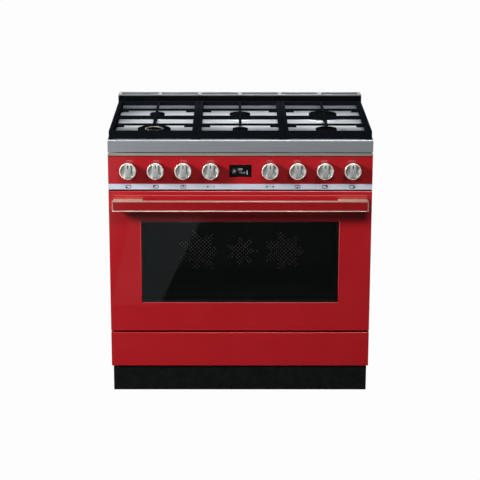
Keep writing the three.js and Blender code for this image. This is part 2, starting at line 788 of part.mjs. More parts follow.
// Storage drawer: a folded front and a sheet box whose side runners slide in the base's channels
function drawer() {
  const front = cut(
    block([-halfWidth, halfWidth], [frontY, behind(doorDepth)], [drawerBottom, drawerTop]),
    [block([doorSheet - halfWidth, halfWidth - doorSheet], [behind(doorSheet), behind(doorDepth) + overrun],
      [drawerBottom + doorSheet, drawerTop - doorSheet])],
  );
  place('drawer_front', front, red, 0.15, 0.1);

  const halfBox = drawerBoxWidth / 2;
  const [near, far] = [behind(doorSheet) + touchGap, behind(doorDepth + drawerBoxLength)];
  const floor = drawerBottom + drawerBoxBottom;
  const runnerZ = drawerBottom + runnerRise;
  const inside = block([sheet - halfBox, halfBox - sheet], [near + sheet, far - sheet],
    [floor + sheet, drawerTop + overrun]);
  const box = cut(block([-halfBox, halfBox], [near, far], [floor, floor + drawerBoxHeight]), [inside]);
  const runners = [-1, 1].map((side) => block(mirrored([halfBox - sheet, halfBox + runnerWidth], side),
    [behind(frameRear) + overrun, far], [runnerZ, runnerZ + runnerThickness]));
  place('drawer_box', unite([box, ...runners]), galvanised, 0.5, 0.7);
}

// Control panel: an enamelled tray, with a bright strip under it and a narrow trim above it
function controlPanel() {
  const rear = behind(frameRear);
  const displayZ = knobZ - displayDrop;
  const through = [frontY - overrun, behind(sheet) + overrun];
  const tray = cut(block([-halfWidth, halfWidth], [frontY, rear], [panelBottom, panelTop]), [
    block([sheet - halfWidth, halfWidth - sheet], [behind(sheet), rear + overrun],
      [panelBottom + sheet, panelTop - sheet]),
    ...knobXs.map((x) => boss(panelHoleRadius, through, x, knobZ, boreSides)),
    block(around(0, displayWidth + 2 * touchGap), through, around(displayZ, displayHeight + 2 * touchGap)),
  ]);
  place('control_panel', tray, red, 0.2, 0.1);

  const strip = unite([
    block([-halfWidth, halfWidth], [frontY, behind(stripThickness)], [stripBottom, panelBottom]),
    block([-halfWidth, halfWidth], [frontY, behind(frameFront)], [stripBottom, stripBottom + stripThickness]),
  ]);
  place('symbol_strip', strip, 0xb9c3cb, 0.3, 1);

  const trim = unite([
    block([-halfWidth, halfWidth], [frontY, behind(trimThickness)], [panelTop, trimTop]),
    block([-halfWidth, halfWidth], [frontY, behind(doorDepth)], [panelTop, panelTop + stripThickness]),
    block([-halfWidth, halfWidth], [behind(doorDepth) - stripThickness, behind(doorDepth)],
      [panelTop, fasciaBottom]),
  ]);
  place('trim_strip', trim, 0x9a988c, 0.35, 1);
}

// Oven controls: the clock with its window, and the two oven switches, on one carrier behind the panel
function ovenControls() {
  const displayZ = knobZ - displayDrop;
  const bodyFront = behind(sheet) + touchGap;
  const bodyRear = behind(tapFront + tapLength) - railRadius - runGap;
  const window = block(around(0, displayWidth), [frontY, bodyFront + overrun],
    around(displayZ, displayHeight));
  const clock = block(around(0, clockWidth), [bodyFront, bodyFront + clockDepth],
    around(displayZ, clockHeight));
  const switches = ovenKnobs.map((index) => block(around(knobXs[index], switchWidth), [bodyFront, bodyRear],
    around(knobZ, switchWidth)));
  const carrier = block(ovenKnobs.map((index) => knobXs[index]),
    [bodyFront + clockDepth - sheet, bodyFront + clockDepth], around(knobZ, switchWidth / 2));
  const bores = ovenKnobs.map((index) => boss(boreRadius(spindleRadius),
    [frontY, behind(tapFront + spindleInTap)], knobXs[index], knobZ, boreSides));
  place('oven_controls', cut(unite([window, clock, carrier, ...switches]), bores), darkGlass, 0.08, 0);
}

// Spindles have one flat, and each knob has the matching socket
function spindle(x, radius, [from, to]) {
  const flat = knobZ + radius - spindleFlat;
  return cut(boss(radius, [from, to], x, knobZ, boreSides), [
    block(around(x, 4 * radius), [from - overrun, to + overrun], [flat, flat + 2 * radius]),
  ]);
}

function knobs() {
  const rear = frontY - knobGap;
  const discFront = rear - knobDisc;
  const gripFront = discFront - knobGripHeight;
  const recessFloor = discFront + knobRecess;
  const recessRadius = knobRadius - knobEdge - knobRim;
  const gripLength = 2 * knobRadius * knobGripLengthShare;
  knobXs.forEach((x, index) => {
    const body = unite([
      turnedAlongY([[0, rear], [knobRadius, rear], [knobRadius, discFront + knobEdge],
        [knobRadius - knobEdge, discFront], [recessRadius, discFront], [recessRadius, recessFloor],
        [0, recessFloor]], x, knobZ),
      block(around(x, knobGripWidth), [gripFront, recessFloor + runGap], around(knobZ, gripLength)),
    ]);
    const spindleFront = rear - spindleInKnob;
    if (gasKnobs.includes(index)) {
      const socket = spindle(x, spindleRadius + spindleGap, [spindleFront - knobGap, rear + overrun]);
      place(`knob_${index + 1}`, cut(body, [socket]), 0xbfc4c0, 0.3, 0.9);
      const tapSide = behind(tapFront + spindleInTap) - runGap;
      place(`spindle_${index + 1}`, spindle(x, spindleRadius, [spindleFront, tapSide]), brass, 0.35, 0.9);
    } else {
      const stem = spindle(x, spindleRadius, [rear - runGap, behind(tapFront + spindleInTap) - runGap]);
      place(`knob_${index + 1}`, unite([body, stem]), 0xbfc4c0, 0.3, 0.9);
    }
  });
}

// Gas rail: a tube with six taps, held to the panel by two posts, and a pipe to the rear inlet
function gasInletX() {
  return knobXs[7] + railOverhang;
}

function gasRail() {
  const railY = behind(tapFront + tapLength);
  const taps = gasKnobs.map((index) => block(around(knobXs[index], tapWidth),
    [behind(tapFront), railY], around(knobZ, tapHeight)));
  const posts = [1, 5].map((index) => block(
    around((knobXs[index] + knobXs[index + 1]) / 2, railPostWidth),
    [behind(sheet) + touchGap, railY],
    around(knobZ, railPostWidth),
  ));
  const tube = rod([knobXs[0] - railOverhang, railY, knobZ], [gasInletX(), railY, knobZ], railRadius,
    boreSides);
  const pipe = rod([gasInletX() - pipeRadius, railY, knobZ], [gasInletX() - pipeRadius,
    backY - inletLength, knobZ], pipeRadius, boreSides);
  const inlet = boss(inletRadius, [backY - inletLength - runGap, backY - touchGap], gasInletX(), knobZ,
    wireSides);
  const bores = gasKnobs.map((index) => boss(boreRadius(spindleRadius),
    [frontY, behind(tapFront + spindleInTap)], knobXs[index], knobZ, boreSides));
  place('gas_rail', cut(unite([...taps, ...posts, tube, pipe, inlet]), bores), brass, 0.4, 0.8);
}

// Hob: a pressed stainless top with a rounded front edge, a shallow basin and a rear flange
const burners = [
  { name: 'burner_front_left', x: -burnerPitch, depth: frontBurnerDepth, radius: wokRadius },
  { name: 'burner_rear_left', x: -burnerPitch, depth: rearBurnerDepth, radius: smallRadius },
  { name: 'burner_front_centre', x: 0, depth: frontBurnerDepth, radius: smallRadius },
  { name: 'burner_rear_centre', x: 0, depth: rearBurnerDepth, radius: mediumRadius },
  { name: 'burner_front_right', x: burnerPitch, depth: frontBurnerDepth, radius: mediumRadius },
  { name: 'burner_rear_right', x: burnerPitch, depth: rearBurnerDepth, radius: largeRadius },
];

function hobTop() {
  const r = hobEdgeRound;
  const arc = Array.from({ length: bendSteps + 1 }, (_, step) => {
    const angle = (step / bendSteps) * (Math.PI / 2);
    return [frontY + r - r * Math.sin(angle), worktop - r + r * Math.cos(angle)];
  });
  const outer = prism('x', [[frontY, fasciaBottom], [backY, fasciaBottom], [backY, worktop], ...arc],
    [-halfWidth, halfWidth]);
  const flangeRear = backY - upstandDepth - touchGap;
  const flange = block([hobRim - halfWidth, halfWidth - hobRim], [flangeRear - sheet, flangeRear],
    [worktop - sheet, worktop + rearFlange]);
  const basin = block([hobRim - halfWidth, halfWidth - hobRim], [behind(hobFrontRim), flangeRear - sheet],
    [hobFloor, worktop + rearFlange + overrun]);
  const under = block([sheet - halfWidth, halfWidth - sheet], [behind(sheet), backY - sheet],
    [fasciaBottom - overrun, hobFloor - sheet]);
  const flue = block(around(0, flueWidth), around(backY - upstandDepth / 2, flueDepth),
    [hobFloor - overrun, worktop + overrun]);
  const holes = burners.map(({ x, depth, radius }) => disc(radius - crownNeck + touchGap,
    [hobFloor - overrun, hobFloor + overrun], x, behind(depth), burnerSides));
  place('hob_top', cut(unite([outer, flange]), [basin, under, flue, ...holes]), stainless, 0.3, 1);
}

function upstand() {
  const outerX = halfWidth - sheet;
  const [front, rear] = [backY - upstandDepth, backY];
  const top = worktop + upstandHeight;
  place('upstand', cut(block([-outerX, outerX], [front, rear], [worktop, top - ventThickness]), [
    block([sheet - outerX, outerX - sheet], [front + sheet, rear - sheet], [worktop - overrun, top]),
  ]), blackEnamel, 0.35, 0.1);

  const cap = prism('y', [[-outerX, top - ventThickness], [outerX, top - ventThickness],
    [outerX, top - ventChamfer], [outerX - ventChamfer, top], [ventChamfer - outerX, top],
    [-outerX, top - ventChamfer]], [front, rear]);
  const pitch = (2 * outerX - ventPostWidth) / ventSlots;
  const slots = Array.from({ length: ventSlots }, (_, index) => block(
    around((index - (ventSlots - 1) / 2) * pitch, pitch - ventPostWidth),
    [front + ventFrontLip, rear - ventRearLip],
    [top - 2 * ventThickness, top + overrun],
  ));
  place('upstand_vent', cut(cap, slots), stainless, 0.3, 1);
}

// Burners: an aluminium crown with its cap, a spark electrode and a flame sensor; the wok burner has
// an open channel between its inner and its outer flame ring
function burnerSet() {
  const seat = hobFloor + touchGap;
  const crownTop = seat + crownHeight;
  const capTop = crownTop + capThickness;
  burners.forEach(({ name, x, depth, radius }) => {
    const y = behind(depth);
    const body = turned([
      [0, seat - crownCup], [radius - crownNeck, seat - crownCup], [radius - crownNeck, seat],
      [radius, seat], [radius, seat + crownFlange], [radius - crownInset, seat + crownFlange],
      [radius - crownInset, crownTop], [radius, crownTop], [radius, capTop - capEdge],
      [radius - capEdge, capTop], [0, capTop]], x, y, burnerSides);
    const reach = radius * Math.SQRT1_2;
    const pins = [-1, 1].map((side) => disc(pinRadius, [seat, seat + pinHeight], x + side * reach, y + reach,
      wireSides));
    const channel = turned([
      [wokInnerRadius, seat + crownFlange], [wokInnerRadius + wokGap, seat + crownFlange],
      [wokInnerRadius + wokGap, capTop + overrun], [wokInnerRadius, capTop + overrun],
      [wokInnerRadius, seat + crownFlange]], x, y, burnerSides);
    const solid = unite([body, ...pins]);
    place(name, radius === wokRadius ? cut(solid, [channel]) : solid, 0x2a2d30, 0.55, 0.4);
  });
}

// Pan supports: three cast-iron grids that lift off, each over a front and a rear burner
function panSupport(name, centre) {
  const top = worktop + supportTop;
  const half = (burnerPitch - supportJoint) / 2;
  const [left, right] = [centre - half, centre + half];
  const rear = backY - upstandDepth - 2 * sheet - 2 * touchGap;
  const foot = hobFloor + touchGap;
  const across = (depth, width, height) => block([left + barWidth / 2, right - barWidth / 2],
    [behind(depth), behind(depth) + width], [top - height, top]);
  const crossDepths = [frontBurnerDepth, rearBurnerDepth].map((depth) => depth - crossBarWidth / 2);
  const middleRear = middleBarDepth + crossBarWidth + middleBarGap;
  const sides = [[left, left + barWidth], [right - barWidth, right]];
  const parts = [
    across(supportFront, barWidth, frontBarHeight),
    across(rearBarDepth, barWidth, rearBarHeight),
    ...[...crossDepths, middleBarDepth, middleRear].map((depth) => (
      across(depth, crossBarWidth, crossBarHeight))),
    ...sides.map((x) => block(x, [behind(supportFront), rear], [top - sideBarHeight, top])),
  ];
  const roots = crossDepths.flatMap((depth) => [
    [left + barWidth / 2, left + barWidth + rootLength],
    [right - barWidth - rootLength, right - barWidth / 2],
  ].map((x) => block(x, [behind(depth), behind(depth) + crossBarWidth], [top - rootHeight, top])));
  const feetDepths = [supportFront, (supportFront + rearBarDepth) / 2, rear - frontY - supportFootLength];
  const supportFeet = sides.flatMap((x) => feetDepths.map((depth) => block(x,
    [behind(depth), behind(depth) + supportFootLength], [foot, top - sideBarHeight + runGap])));
  const [slim, deep] = [top - crossBarHeight, top - ribDeepHeight];
  const ribFront = frontBurnerDepth - ribOverhang;
  const ribOutline = [
    [ribFront, top], [ribFront, slim], [middleBarDepth - ribTaper, slim], [middleBarDepth, deep],
    [middleRear + crossBarWidth, deep], [middleRear + crossBarWidth + ribTaper, slim],
    [rearBarDepth + barWidth / 2, slim], [rearBarDepth + barWidth / 2, top],
  ].map(([depth, z]) => [behind(depth), z]);
  const rib = prism('x', ribOutline, around(centre, ribWidth));
  place(name, unite([...parts, ...roots, ...supportFeet, rib]), castIron, 0.7, 0.3);
}

plinth();
baseFrame();
sidePanels();
backPanel();
oven();
fanCover();
convectionFans();
fanMotors();
grill();
racks();
shelfAndTray();
doorPanel();
doorRing();
hinges();
doorSeal();
handle();
drawer();
controlPanel();
ovenControls();
knobs();
gasRail();
hobTop();
upstand();
burnerSet();
panSupport('pan_support_left', -burnerPitch);
panSupport('pan_support_centre', 0);
panSupport('pan_support_right', burnerPitch);

export default cooker;
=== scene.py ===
from math import atan2, cos, hypot, pi, radians, sin, tau

import bmesh
import bpy
from mathutils import Matrix, Vector


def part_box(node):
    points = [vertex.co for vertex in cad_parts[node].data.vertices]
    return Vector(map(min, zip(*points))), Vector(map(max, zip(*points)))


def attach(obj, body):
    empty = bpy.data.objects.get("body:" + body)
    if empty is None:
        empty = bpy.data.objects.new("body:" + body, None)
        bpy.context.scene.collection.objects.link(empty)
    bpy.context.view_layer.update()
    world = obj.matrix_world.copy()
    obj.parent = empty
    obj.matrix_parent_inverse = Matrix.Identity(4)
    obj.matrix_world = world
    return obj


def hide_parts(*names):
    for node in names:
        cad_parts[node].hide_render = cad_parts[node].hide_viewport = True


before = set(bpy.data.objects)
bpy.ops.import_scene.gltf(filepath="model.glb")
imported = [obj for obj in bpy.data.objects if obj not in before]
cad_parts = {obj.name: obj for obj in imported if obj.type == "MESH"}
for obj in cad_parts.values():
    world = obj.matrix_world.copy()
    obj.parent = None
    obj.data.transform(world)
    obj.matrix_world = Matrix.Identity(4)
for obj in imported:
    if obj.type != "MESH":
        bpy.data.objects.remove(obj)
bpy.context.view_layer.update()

# Studio
# A pale floor and a white surround, a key light from the left, a light high in front and one behind, a
# card for gleams behind the camera, a faint glow in the oven, and a narrow light and three small lamps
# that gleam in the hob's basin. Nothing here belongs to the cooker.
camera_place, camera_lens = Vector((-0.025, -5.802, 2.111)), 125.9
camera_pitch, camera_yaw, camera_roll = radians(15.78), radians(0.25), radians(-0.10)
camera = bpy.data.objects.new("camera", bpy.data.cameras.new("camera"))
camera.data.lens = camera_lens
camera.matrix_world = (Matrix.Translation(camera_place) @ Matrix.Rotation(-camera_yaw, 4, "Z")
                       @ Matrix.Rotation(pi / 2 - camera_pitch, 4, "X")
                       @ Matrix.Rotation(-camera_roll, 4, "Z"))
bpy.context.scene.collection.objects.link(camera)
bpy.context.scene.camera = camera
bpy.context.scene.view_settings.view_transform = "Standard"


def srgb(red, green, blue):
    """A colour as read off a screen, 0 to 255, as the linear colour that a shader takes."""
    linear = [(c / 255 / 12.92) if c <= 10 else ((c / 255 + 0.055) / 1.055) ** 2.4
              for c in (red, green, blue)]
    return (*linear, 1.0)


def soft_light(name, place, target, width, height, power, gleam_only=False):
    """An area light aimed at a point, with its power in watts; one for gleams lights nothing matt."""
    lamp = bpy.data.lights.new(name, "AREA")
    lamp.shape = "RECTANGLE"
    lamp.size, lamp.size_y, lamp.energy = width, height, power
    light = bpy.data.objects.new(name, lamp)
    light.matrix_world = (Matrix.Translation(place)
                          @ (Vector(target) - Vector(place)).to_track_quat("-Z", "Y").to_matrix().to_4x4())
    light.visible_camera, light.visible_diffuse = False, not gleam_only
    bpy.context.scene.collection.objects.link(light)
    return light


soft_light("key_light", (-4.4, -2.4, 3.0), (0, -0.28, 0.78), 1.3, 1.3, 450)
soft_light("front_light", (0.6, -4.5, 5.9), (0, 0, 0.6), 2.4, 1.8, 262)
soft_light("front_card", (0, -6.5, 2.9), (0, 0, 0.7), 4.0, 2.0, 110, gleam_only=True)
soft_light("oven_glow", (0, -0.150, 0.608), (0, 0.14, 0.38), 0.50, 0.03, 0.30)
soft_light("back_light", (0, 2.6, 2.2), (0, 0, 0.9), 3.0, 1.0, 30)
basin_light = soft_light("basin_light", (0, 0.50, 1.45), (0, 0.17, 0.9), 0.80, 0.05, 0.85)
basin_light_spread = radians(34)
basin_light.data.spread = basin_light_spread
glint_xs, glint_aim = (-0.34, 0.0, 0.37), 0.8
for glint_x in glint_xs:
    soft_light("basin_glint", (glint_x, 1.6, 1.222), (glint_x * glint_aim, 0, 0.9), 0.14, 0.05, 0.08)

# The surround is white to the camera. To everything else it is dark in front and bright behind.
dark_until, bright_from = -0.9, 0.6
dark_tone, bright_tone = (0.05, 0.05, 0.05, 1), (0.18, 0.19, 0.20, 1)
world = bpy.data.worlds.new("surround")
bpy.context.scene.world = world
world.use_nodes = True
nodes, links = world.node_tree.nodes, world.node_tree.links
direction = nodes.new("ShaderNodeSeparateXYZ")
links.new(nodes.new("ShaderNodeTexCoord").outputs["Generated"], direction.inputs[0])
front_to_back = nodes.new("ShaderNodeMapRange")
front_to_back.inputs["From Min"].default_value = dark_until
front_to_back.inputs["From Max"].default_value = bright_from
links.new(direction.outputs["Y"], front_to_back.inputs["Value"])
sky = nodes.new("ShaderNodeValToRGB")
sky.color_ramp.elements[0].color = dark_tone
sky.color_ramp.elements[1].color = bright_tone
links.new(front_to_back.outputs["Result"], sky.inputs["Fac"])
studio_light = nodes["Background"]
links.new(sky.outputs["Color"], studio_light.inputs["Color"])
white = nodes.new("ShaderNodeBackground")
white.inputs["Color"].default_value = (1, 1, 1, 1)
seen = nodes.new("ShaderNodeLightPath")
mixed = nodes.new("ShaderNodeMixShader")
links.new(seen.outputs["Is Camera Ray"], mixed.inputs["Fac"])
links.new(studio_light.outputs[0], mixed.inputs[1])
links.new(white.outputs[0], mixed.inputs[2])
links.new(mixed.outputs[0], nodes["World Output"].inputs["Surface"])

# The floor is white to the camera. In reflections it is dark, with two lighter cards: one lies in
# front on the left, and its edge crosses the oven's window at a slant, and a white one lies at the
# side and gleams in edges that face left.
floor_size, floor_whiteness, floor_tone, floor_roughness = 60, 0.98, srgb(64, 64, 66), 0.85
mirrored_floor_tone, mirrored_card_tone = (0.025, 0.025, 0.025, 1), (0.13, 0.15, 0.15, 1)
card_left, card_right, card_slope, card_near, card_far = -0.52, -0.456, -0.1073, -2.65, -1.25
side_card_left, side_card_right, side_card_near, side_card_far = -3.4, -0.55, -4.0, -0.3
side_card_strength, side_card_softness = 50, 0.55
bm = bmesh.new()
bmesh.ops.create_grid(bm, x_segments=1, y_segments=1, size=floor_size / 2)
floor_mesh = bpy.data.meshes.new("floor")
bm.to_mesh(floor_mesh)
floor = bpy.data.objects.new("floor", floor_mesh)
bpy.context.scene.collection.objects.link(floor)
pale = bpy.data.materials.new("pale_floor")
pale.use_nodes = True
nodes, links = pale.node_tree.nodes, pale.node_tree.links
paint = nodes["Principled BSDF"]
paint.inputs["Base Color"].default_value = floor_tone
paint.inputs["Roughness"].default_value = floor_roughness


def worked_out(operation, *values):
    """The result of one maths node of the floor's shader."""
    node = nodes.new("ShaderNodeMath")
    node.operation = operation
    for socket, value in zip(node.inputs, values):
        if isinstance(value, bpy.types.NodeSocket):
            links.new(value, socket)
        else:
            socket.default_value = value
    return node.outputs[0]


seen = nodes.new("ShaderNodeLightPath")
place = nodes.new("ShaderNodeSeparateXYZ")
links.new(nodes.new("ShaderNodeTexCoord").outputs["Object"], place.inputs[0])
across, deep = place.outputs["X"], place.outputs["Y"]


def between(value, low, high):
    """One where a value lies between two others, and zero elsewhere."""
    return worked_out("MULTIPLY", worked_out("GREATER_THAN", value, low),
                      worked_out("LESS_THAN", value, high))


on_card = worked_out("MULTIPLY", between(deep, card_near, card_far), between(
    across, card_left, worked_out("MULTIPLY_ADD", deep, card_slope, card_right)))
side_card_fade = worked_out("DIVIDE", worked_out("SUBTRACT", side_card_right, across), side_card_softness)
in_side_card_width = worked_out("MULTIPLY", between(across, side_card_left, side_card_right),
                                worked_out("MINIMUM", side_card_fade, 1.0))
on_side_card = worked_out("MULTIPLY", between(deep, side_card_near, side_card_far), in_side_card_width)
card_tone = nodes.new("ShaderNodeValToRGB")
card_tone.color_ramp.elements[0].color = mirrored_floor_tone
card_tone.color_ramp.elements[1].color = mirrored_card_tone
links.new(on_card, card_tone.inputs["Fac"])
mirrored, glow = nodes.new("ShaderNodeEmission"), nodes.new("ShaderNodeEmission")
links.new(card_tone.outputs["Color"], mirrored.inputs["Color"])
links.new(worked_out("MULTIPLY_ADD", on_side_card, side_card_strength, 1.0), mirrored.inputs["Strength"])
in_mirror, in_view = nodes.new("ShaderNodeMixShader"), nodes.new("ShaderNodeMixShader")
links.new(seen.outputs["Is Glossy Ray"], in_mirror.inputs["Fac"])
links.new(paint.outputs[0], in_mirror.inputs[1])
links.new(mirrored.outputs[0], in_mirror.inputs[2])
links.new(worked_out("MULTIPLY", seen.outputs["Is Camera Ray"], floor_whiteness), in_view.inputs["Fac"])
links.new(in_mirror.outputs[0], in_view.inputs[1])
links.new(glow.outputs[0], in_view.inputs[2])
links.new(in_view.outputs[0], nodes["Material Output"].inputs["Surface"])
floor.data.materials.append(pale)


# Base sheet, screw feet and drawer channels
# One welded part in galvanised steel. The feet screw down to level the cooker, and the channels
# at both sides carry the drawer.
noise_detail = 6


def texture_group(name, stretch, kind="ShaderNodeTexNoise"):
    """A pattern on object coordinates, stretched along the axes: its value, and a relief as a normal."""
    group = bpy.data.node_groups.new(name, "ShaderNodeTree")
    for label in ("Scale", "Relief"):
        group.interface.new_socket(label, in_out="INPUT", socket_type="NodeSocketFloat")
    group.interface.new_socket("Value", in_out="OUTPUT", socket_type="NodeSocketFloat")
    group.interface.new_socket("Normal", in_out="OUTPUT", socket_type="NodeSocketVector")
    nodes, links = group.nodes, group.links
    given, result = nodes.new("NodeGroupInput"), nodes.new("NodeGroupOutput")
    mapping, pattern, bump = nodes.new("ShaderNodeMapping"), nodes.new(kind), nodes.new("ShaderNodeBump")
    mapping.inputs["Scale"].default_value = stretch
    links.new(nodes.new("ShaderNodeTexCoord").outputs["Object"], mapping.inputs["Vector"])
    links.new(mapping.outputs["Vector"], pattern.inputs["Vector"])
    links.new(given.outputs["Scale"], pattern.inputs["Scale"])
    value = pattern.outputs["Distance"] if kind == "ShaderNodeTexVoronoi" else pattern.outputs["Fac"]
    if kind == "ShaderNodeTexNoise":
        pattern.inputs["Detail"].default_value = noise_detail
    links.new(value, result.inputs["Value"])
    links.new(value, bump.inputs["Height"])
    links.new(given.outputs["Relief"], bump.inputs["Distance"])
    links.new(bump.outputs["Normal"], result.inputs["Normal"])
    return group


def finish(name, dark, light, rough, texture, scale, relief=0.0, spread=(0.35, 0.65), **values):
    """A material whose colour and roughness follow one pattern between two ends."""
    material = bpy.data.materials.new(name)
    material.use_nodes = True
    nodes, links = material.node_tree.nodes, material.node_tree.links
    shader, pattern = nodes["Principled BSDF"], nodes.new("ShaderNodeGroup")
    pattern.node_tree = texture
    pattern.inputs["Scale"].default_value = scale
    pattern.inputs["Relief"].default_value = relief
    colour, gloss = nodes.new("ShaderNodeValToRGB"), nodes.new("ShaderNodeMapRange")
    for element, place, shade in zip(colour.color_ramp.elements, spread, (dark, light)):
        element.position, element.color = place, shade
    links.new(pattern.outputs["Value"], colour.inputs["Fac"])
    links.new(colour.outputs["Color"], shader.inputs["Base Color"])
    gloss.inputs["From Min"].default_value, gloss.inputs["From Max"].default_value = spread
    gloss.inputs["To Min"].default_value, gloss.inputs["To Max"].default_value = rough
    links.new(pattern.outputs["Value"], gloss.inputs["Value"])
    links.new(gloss.outputs["Result"], shader.inputs["Roughness"])
    if relief:
        links.new(pattern.outputs["Normal"], shader.inputs["Normal"])
    for socket, value in values.items():
        shader.inputs[socket.replace("_", " ")].default_value = value
    return material


def dress(node, material):
    """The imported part's own solid, in its finish."""
    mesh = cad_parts[node].data
    mesh.materials.clear()
    mesh.materials.append(material)


even_grain = texture_group("even_grain", (1, 1, 1))
spangle = texture_group("zinc_spangle", (1, 1, 1), "ShaderNodeTexVoronoi")
galvanised = finish("galvanised_sheet", srgb(146, 150, 154), srgb(162, 166, 170), (0.40, 0.48), spangle, 120,
                    spread=(0.1, 0.7), Metallic=0.8)
dress("base_frame", galvanised)
dress("drawer_box", galvanised)
dress("fan_motors", galvanised)

# Plinth
# A folded black sheet between the floor and the drawer, a little behind the front. Its edges
# are rounded by the fold.
same_point, same_packed_point = 1e-6, 1e-5


def show(name, mesh, material, body, slot, replaces=(), sharp=35):
    """A finished mesh as a piece that rides on a body."""
    piece = bpy.data.objects.new(name, mesh)
    bpy.context.scene.collection.objects.link(piece)
    mesh.materials.append(material)
    mesh.shade_smooth()
    mesh.set_sharp_from_angle(angle=radians(sharp))
    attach(piece, body)
    if replaces:
        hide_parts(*replaces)
    return piece


def finished(name, bm, *where, **more):
    """A bmesh as a piece: doubles merged and every face turned outwards."""
    bmesh.ops.remove_doubles(bm, verts=bm.verts[:], dist=same_point)
    bmesh.ops.recalc_face_normals(bm, faces=bm.faces[:])
    mesh = bpy.data.meshes.new(name)
    bm.to_mesh(mesh)
    bm.free()
    return show(name, mesh, *where, **more)


def softened(node, name, material, body, slot, edge, segments=2, angle=30, rim_only=False):
    """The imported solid's shape as a new piece with its sharp edges rounded, or only those of its rim."""
    bm = bmesh.new()
    bm.from_mesh(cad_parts[node].data)
    bmesh.ops.remove_doubles(bm, verts=bm.verts[:], dist=same_packed_point)
    bmesh.ops.recalc_face_normals(bm, faces=bm.faces[:])
    corners = [e for e in bm.edges if e.is_manifold and e.calc_face_angle() > radians(angle)]
    if rim_only:
        near_rim = edge / 9
        on_rim = {v for v in bm.verts if min(abs(v.co[axis] - corner[axis])
                                             for axis in (0, 2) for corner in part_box(node)) < near_rim}
        corners = [e for e in corners if on_rim.issuperset(e.verts)]
    bmesh.ops.bevel(bm, geom=corners, offset=edge, offset_type="OFFSET", affect="EDGES", segments=segments,
                    profile=0.5, material=-1, clamp_overlap=True)
    piece = finished(name, bm, material, body, slot, replaces=(node,))
    flatness = piece.modifiers.new("flat faces", "WEIGHTED_NORMAL")
    flatness.weight, flatness.keep_sharp = 100, True
    return piece


black_enamel = finish("black_enamel", srgb(12, 13, 13), srgb(16, 17, 17), (0.4, 0.5), even_grain, 60,
                      Specular_IOR_Level=0.12)
softened("plinth", "plinth_panel", black_enamel, "root", "black_enamel", 0.002)

# Side and back panels
# Painted steel sides and a galvanised back, screwed together along the rear edges. The back has
# two rows of cooling slots, the gas inlet and the terminal box.
side_paint = finish("side_paint", srgb(38, 40, 42), srgb(46, 48, 50), (0.38, 0.5), even_grain, 400, 0.0004)
dress("side_panel_left", side_paint)
dress("side_panel_right", side_paint)
dress("back_panel", galvanised)


def turned(bm, profile, centre, axis="Z", steps=32):
    """A profile of (radius, height) points spun round an axis through a point."""
    turn = {"Z": Matrix.Identity(3), "Y": Matrix.Rotation(-pi / 2, 3, "X"),
            "X": Matrix.Rotation(pi / 2, 3, "Y")}[axis]
    verts = [bm.verts.new(turn @ Vector((r, 0, h)) + Vector(centre)) for r, h in profile]
    edges = [bm.edges.new(pair) for pair in zip(verts, verts[1:])]
    bmesh.ops.spin(bm, geom=verts + edges, cent=centre, axis=turn @ Vector((0, 0, 1)), angle=tau, steps=steps,
                   use_merge=True)
    bmesh.ops.remove_doubles(bm, verts=bm.verts[:], dist=same_point)


back_low, back_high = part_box("back_panel")
screw_radius, screw_rise, screw_inset, screw_sides = 0.0045, 0.0022, 0.012, 10
screw_rows, screw_columns = 6, 5
screw_zinc = finish("screw_zinc", srgb(150, 153, 156), srgb(190, 192, 194), (0.3, 0.4), even_grain, 300,
                    Metallic=1.0)
screw_xs, screw_zs = [[low + screw_inset + step * (high - low - 2 * screw_inset) / (count - 1)
                       for step in range(count)]
                      for low, high, count in ((back_low.x, back_high.x, screw_columns),
                                               (back_low.z, back_high.z, screw_rows))]
bm = bmesh.new()
for x, z in [(x, z) for x in screw_xs for z in screw_zs]:
    if x in (screw_xs[0], screw_xs[-1]) or z in (screw_zs[0], screw_zs[-1]):
        turned(bm, [(0, 0), (screw_radius, 0), (screw_radius, screw_rise / 2),
                    (screw_radius / 2, screw_rise), (0, screw_rise)], (x, back_high.y, z), "Y", screw_sides)
finished("back_screws", bm, screw_zinc, "root", "galvanised")

# Oven box, insulation and lamp
# A pressed box in black enamel, welded to the front frame and wrapped in mineral wool. A lamp with
# a glass dome is set in its right wall.
speckled_enamel = finish("speckled_enamel", srgb(18, 19, 20), srgb(40, 42, 44), (0.22, 0.3), even_grain, 900,
                         spread=(0.5, 0.72), Coat_Weight=0.5)
mineral_wool = finish("mineral_wool", srgb(176, 166, 128), srgb(214, 206, 172), (0.9, 1.0), even_grain, 90,
                      0.004)
dress("oven_cavity", speckled_enamel)
dress("oven_insulation", mineral_wool)

lamp_place = (0.362, -0.038, 0.49)
lamp_radius, lamp_collar, lamp_shoulder, lamp_reach, lamp_sides = 0.0275, 0.003, 0.0075, 0.0105, 24
lamp_glass = finish("lamp_glass", srgb(214, 214, 205), srgb(236, 236, 228), (0.05, 0.12), even_grain, 200,
                    Transmission_Weight=0.6, IOR=1.45)
bm = bmesh.new()
turned(bm, [(lamp_radius, 0), (lamp_radius, -lamp_collar), (0.8 * lamp_radius, -lamp_shoulder),
            (0.45 * lamp_radius, -lamp_reach), (0, -lamp_reach), (0, 0)], lamp_place, "X", lamp_sides)
finished("oven_lamp_glass", bm, lamp_glass, "root", "glass_pane")

# Fan guard
# A folded enamelled sheet across the back of the oven, punched with small holes that make a star
# in front of each fan. Each hole is a bright rim on the sheet.
guard_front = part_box("fan_cover")[0].y
star_xs, star_z, star_radii = (-0.150, 0.007, 0.164), 0.388, (0.084, 0.057, 0.080)
star_points, star_waist = 7, 0.50
hole_pitch, hole_radius, hole_rim, hole_proud, hole_sides = 0.0140, 0.0023, 0.0014, 0.0004, 6


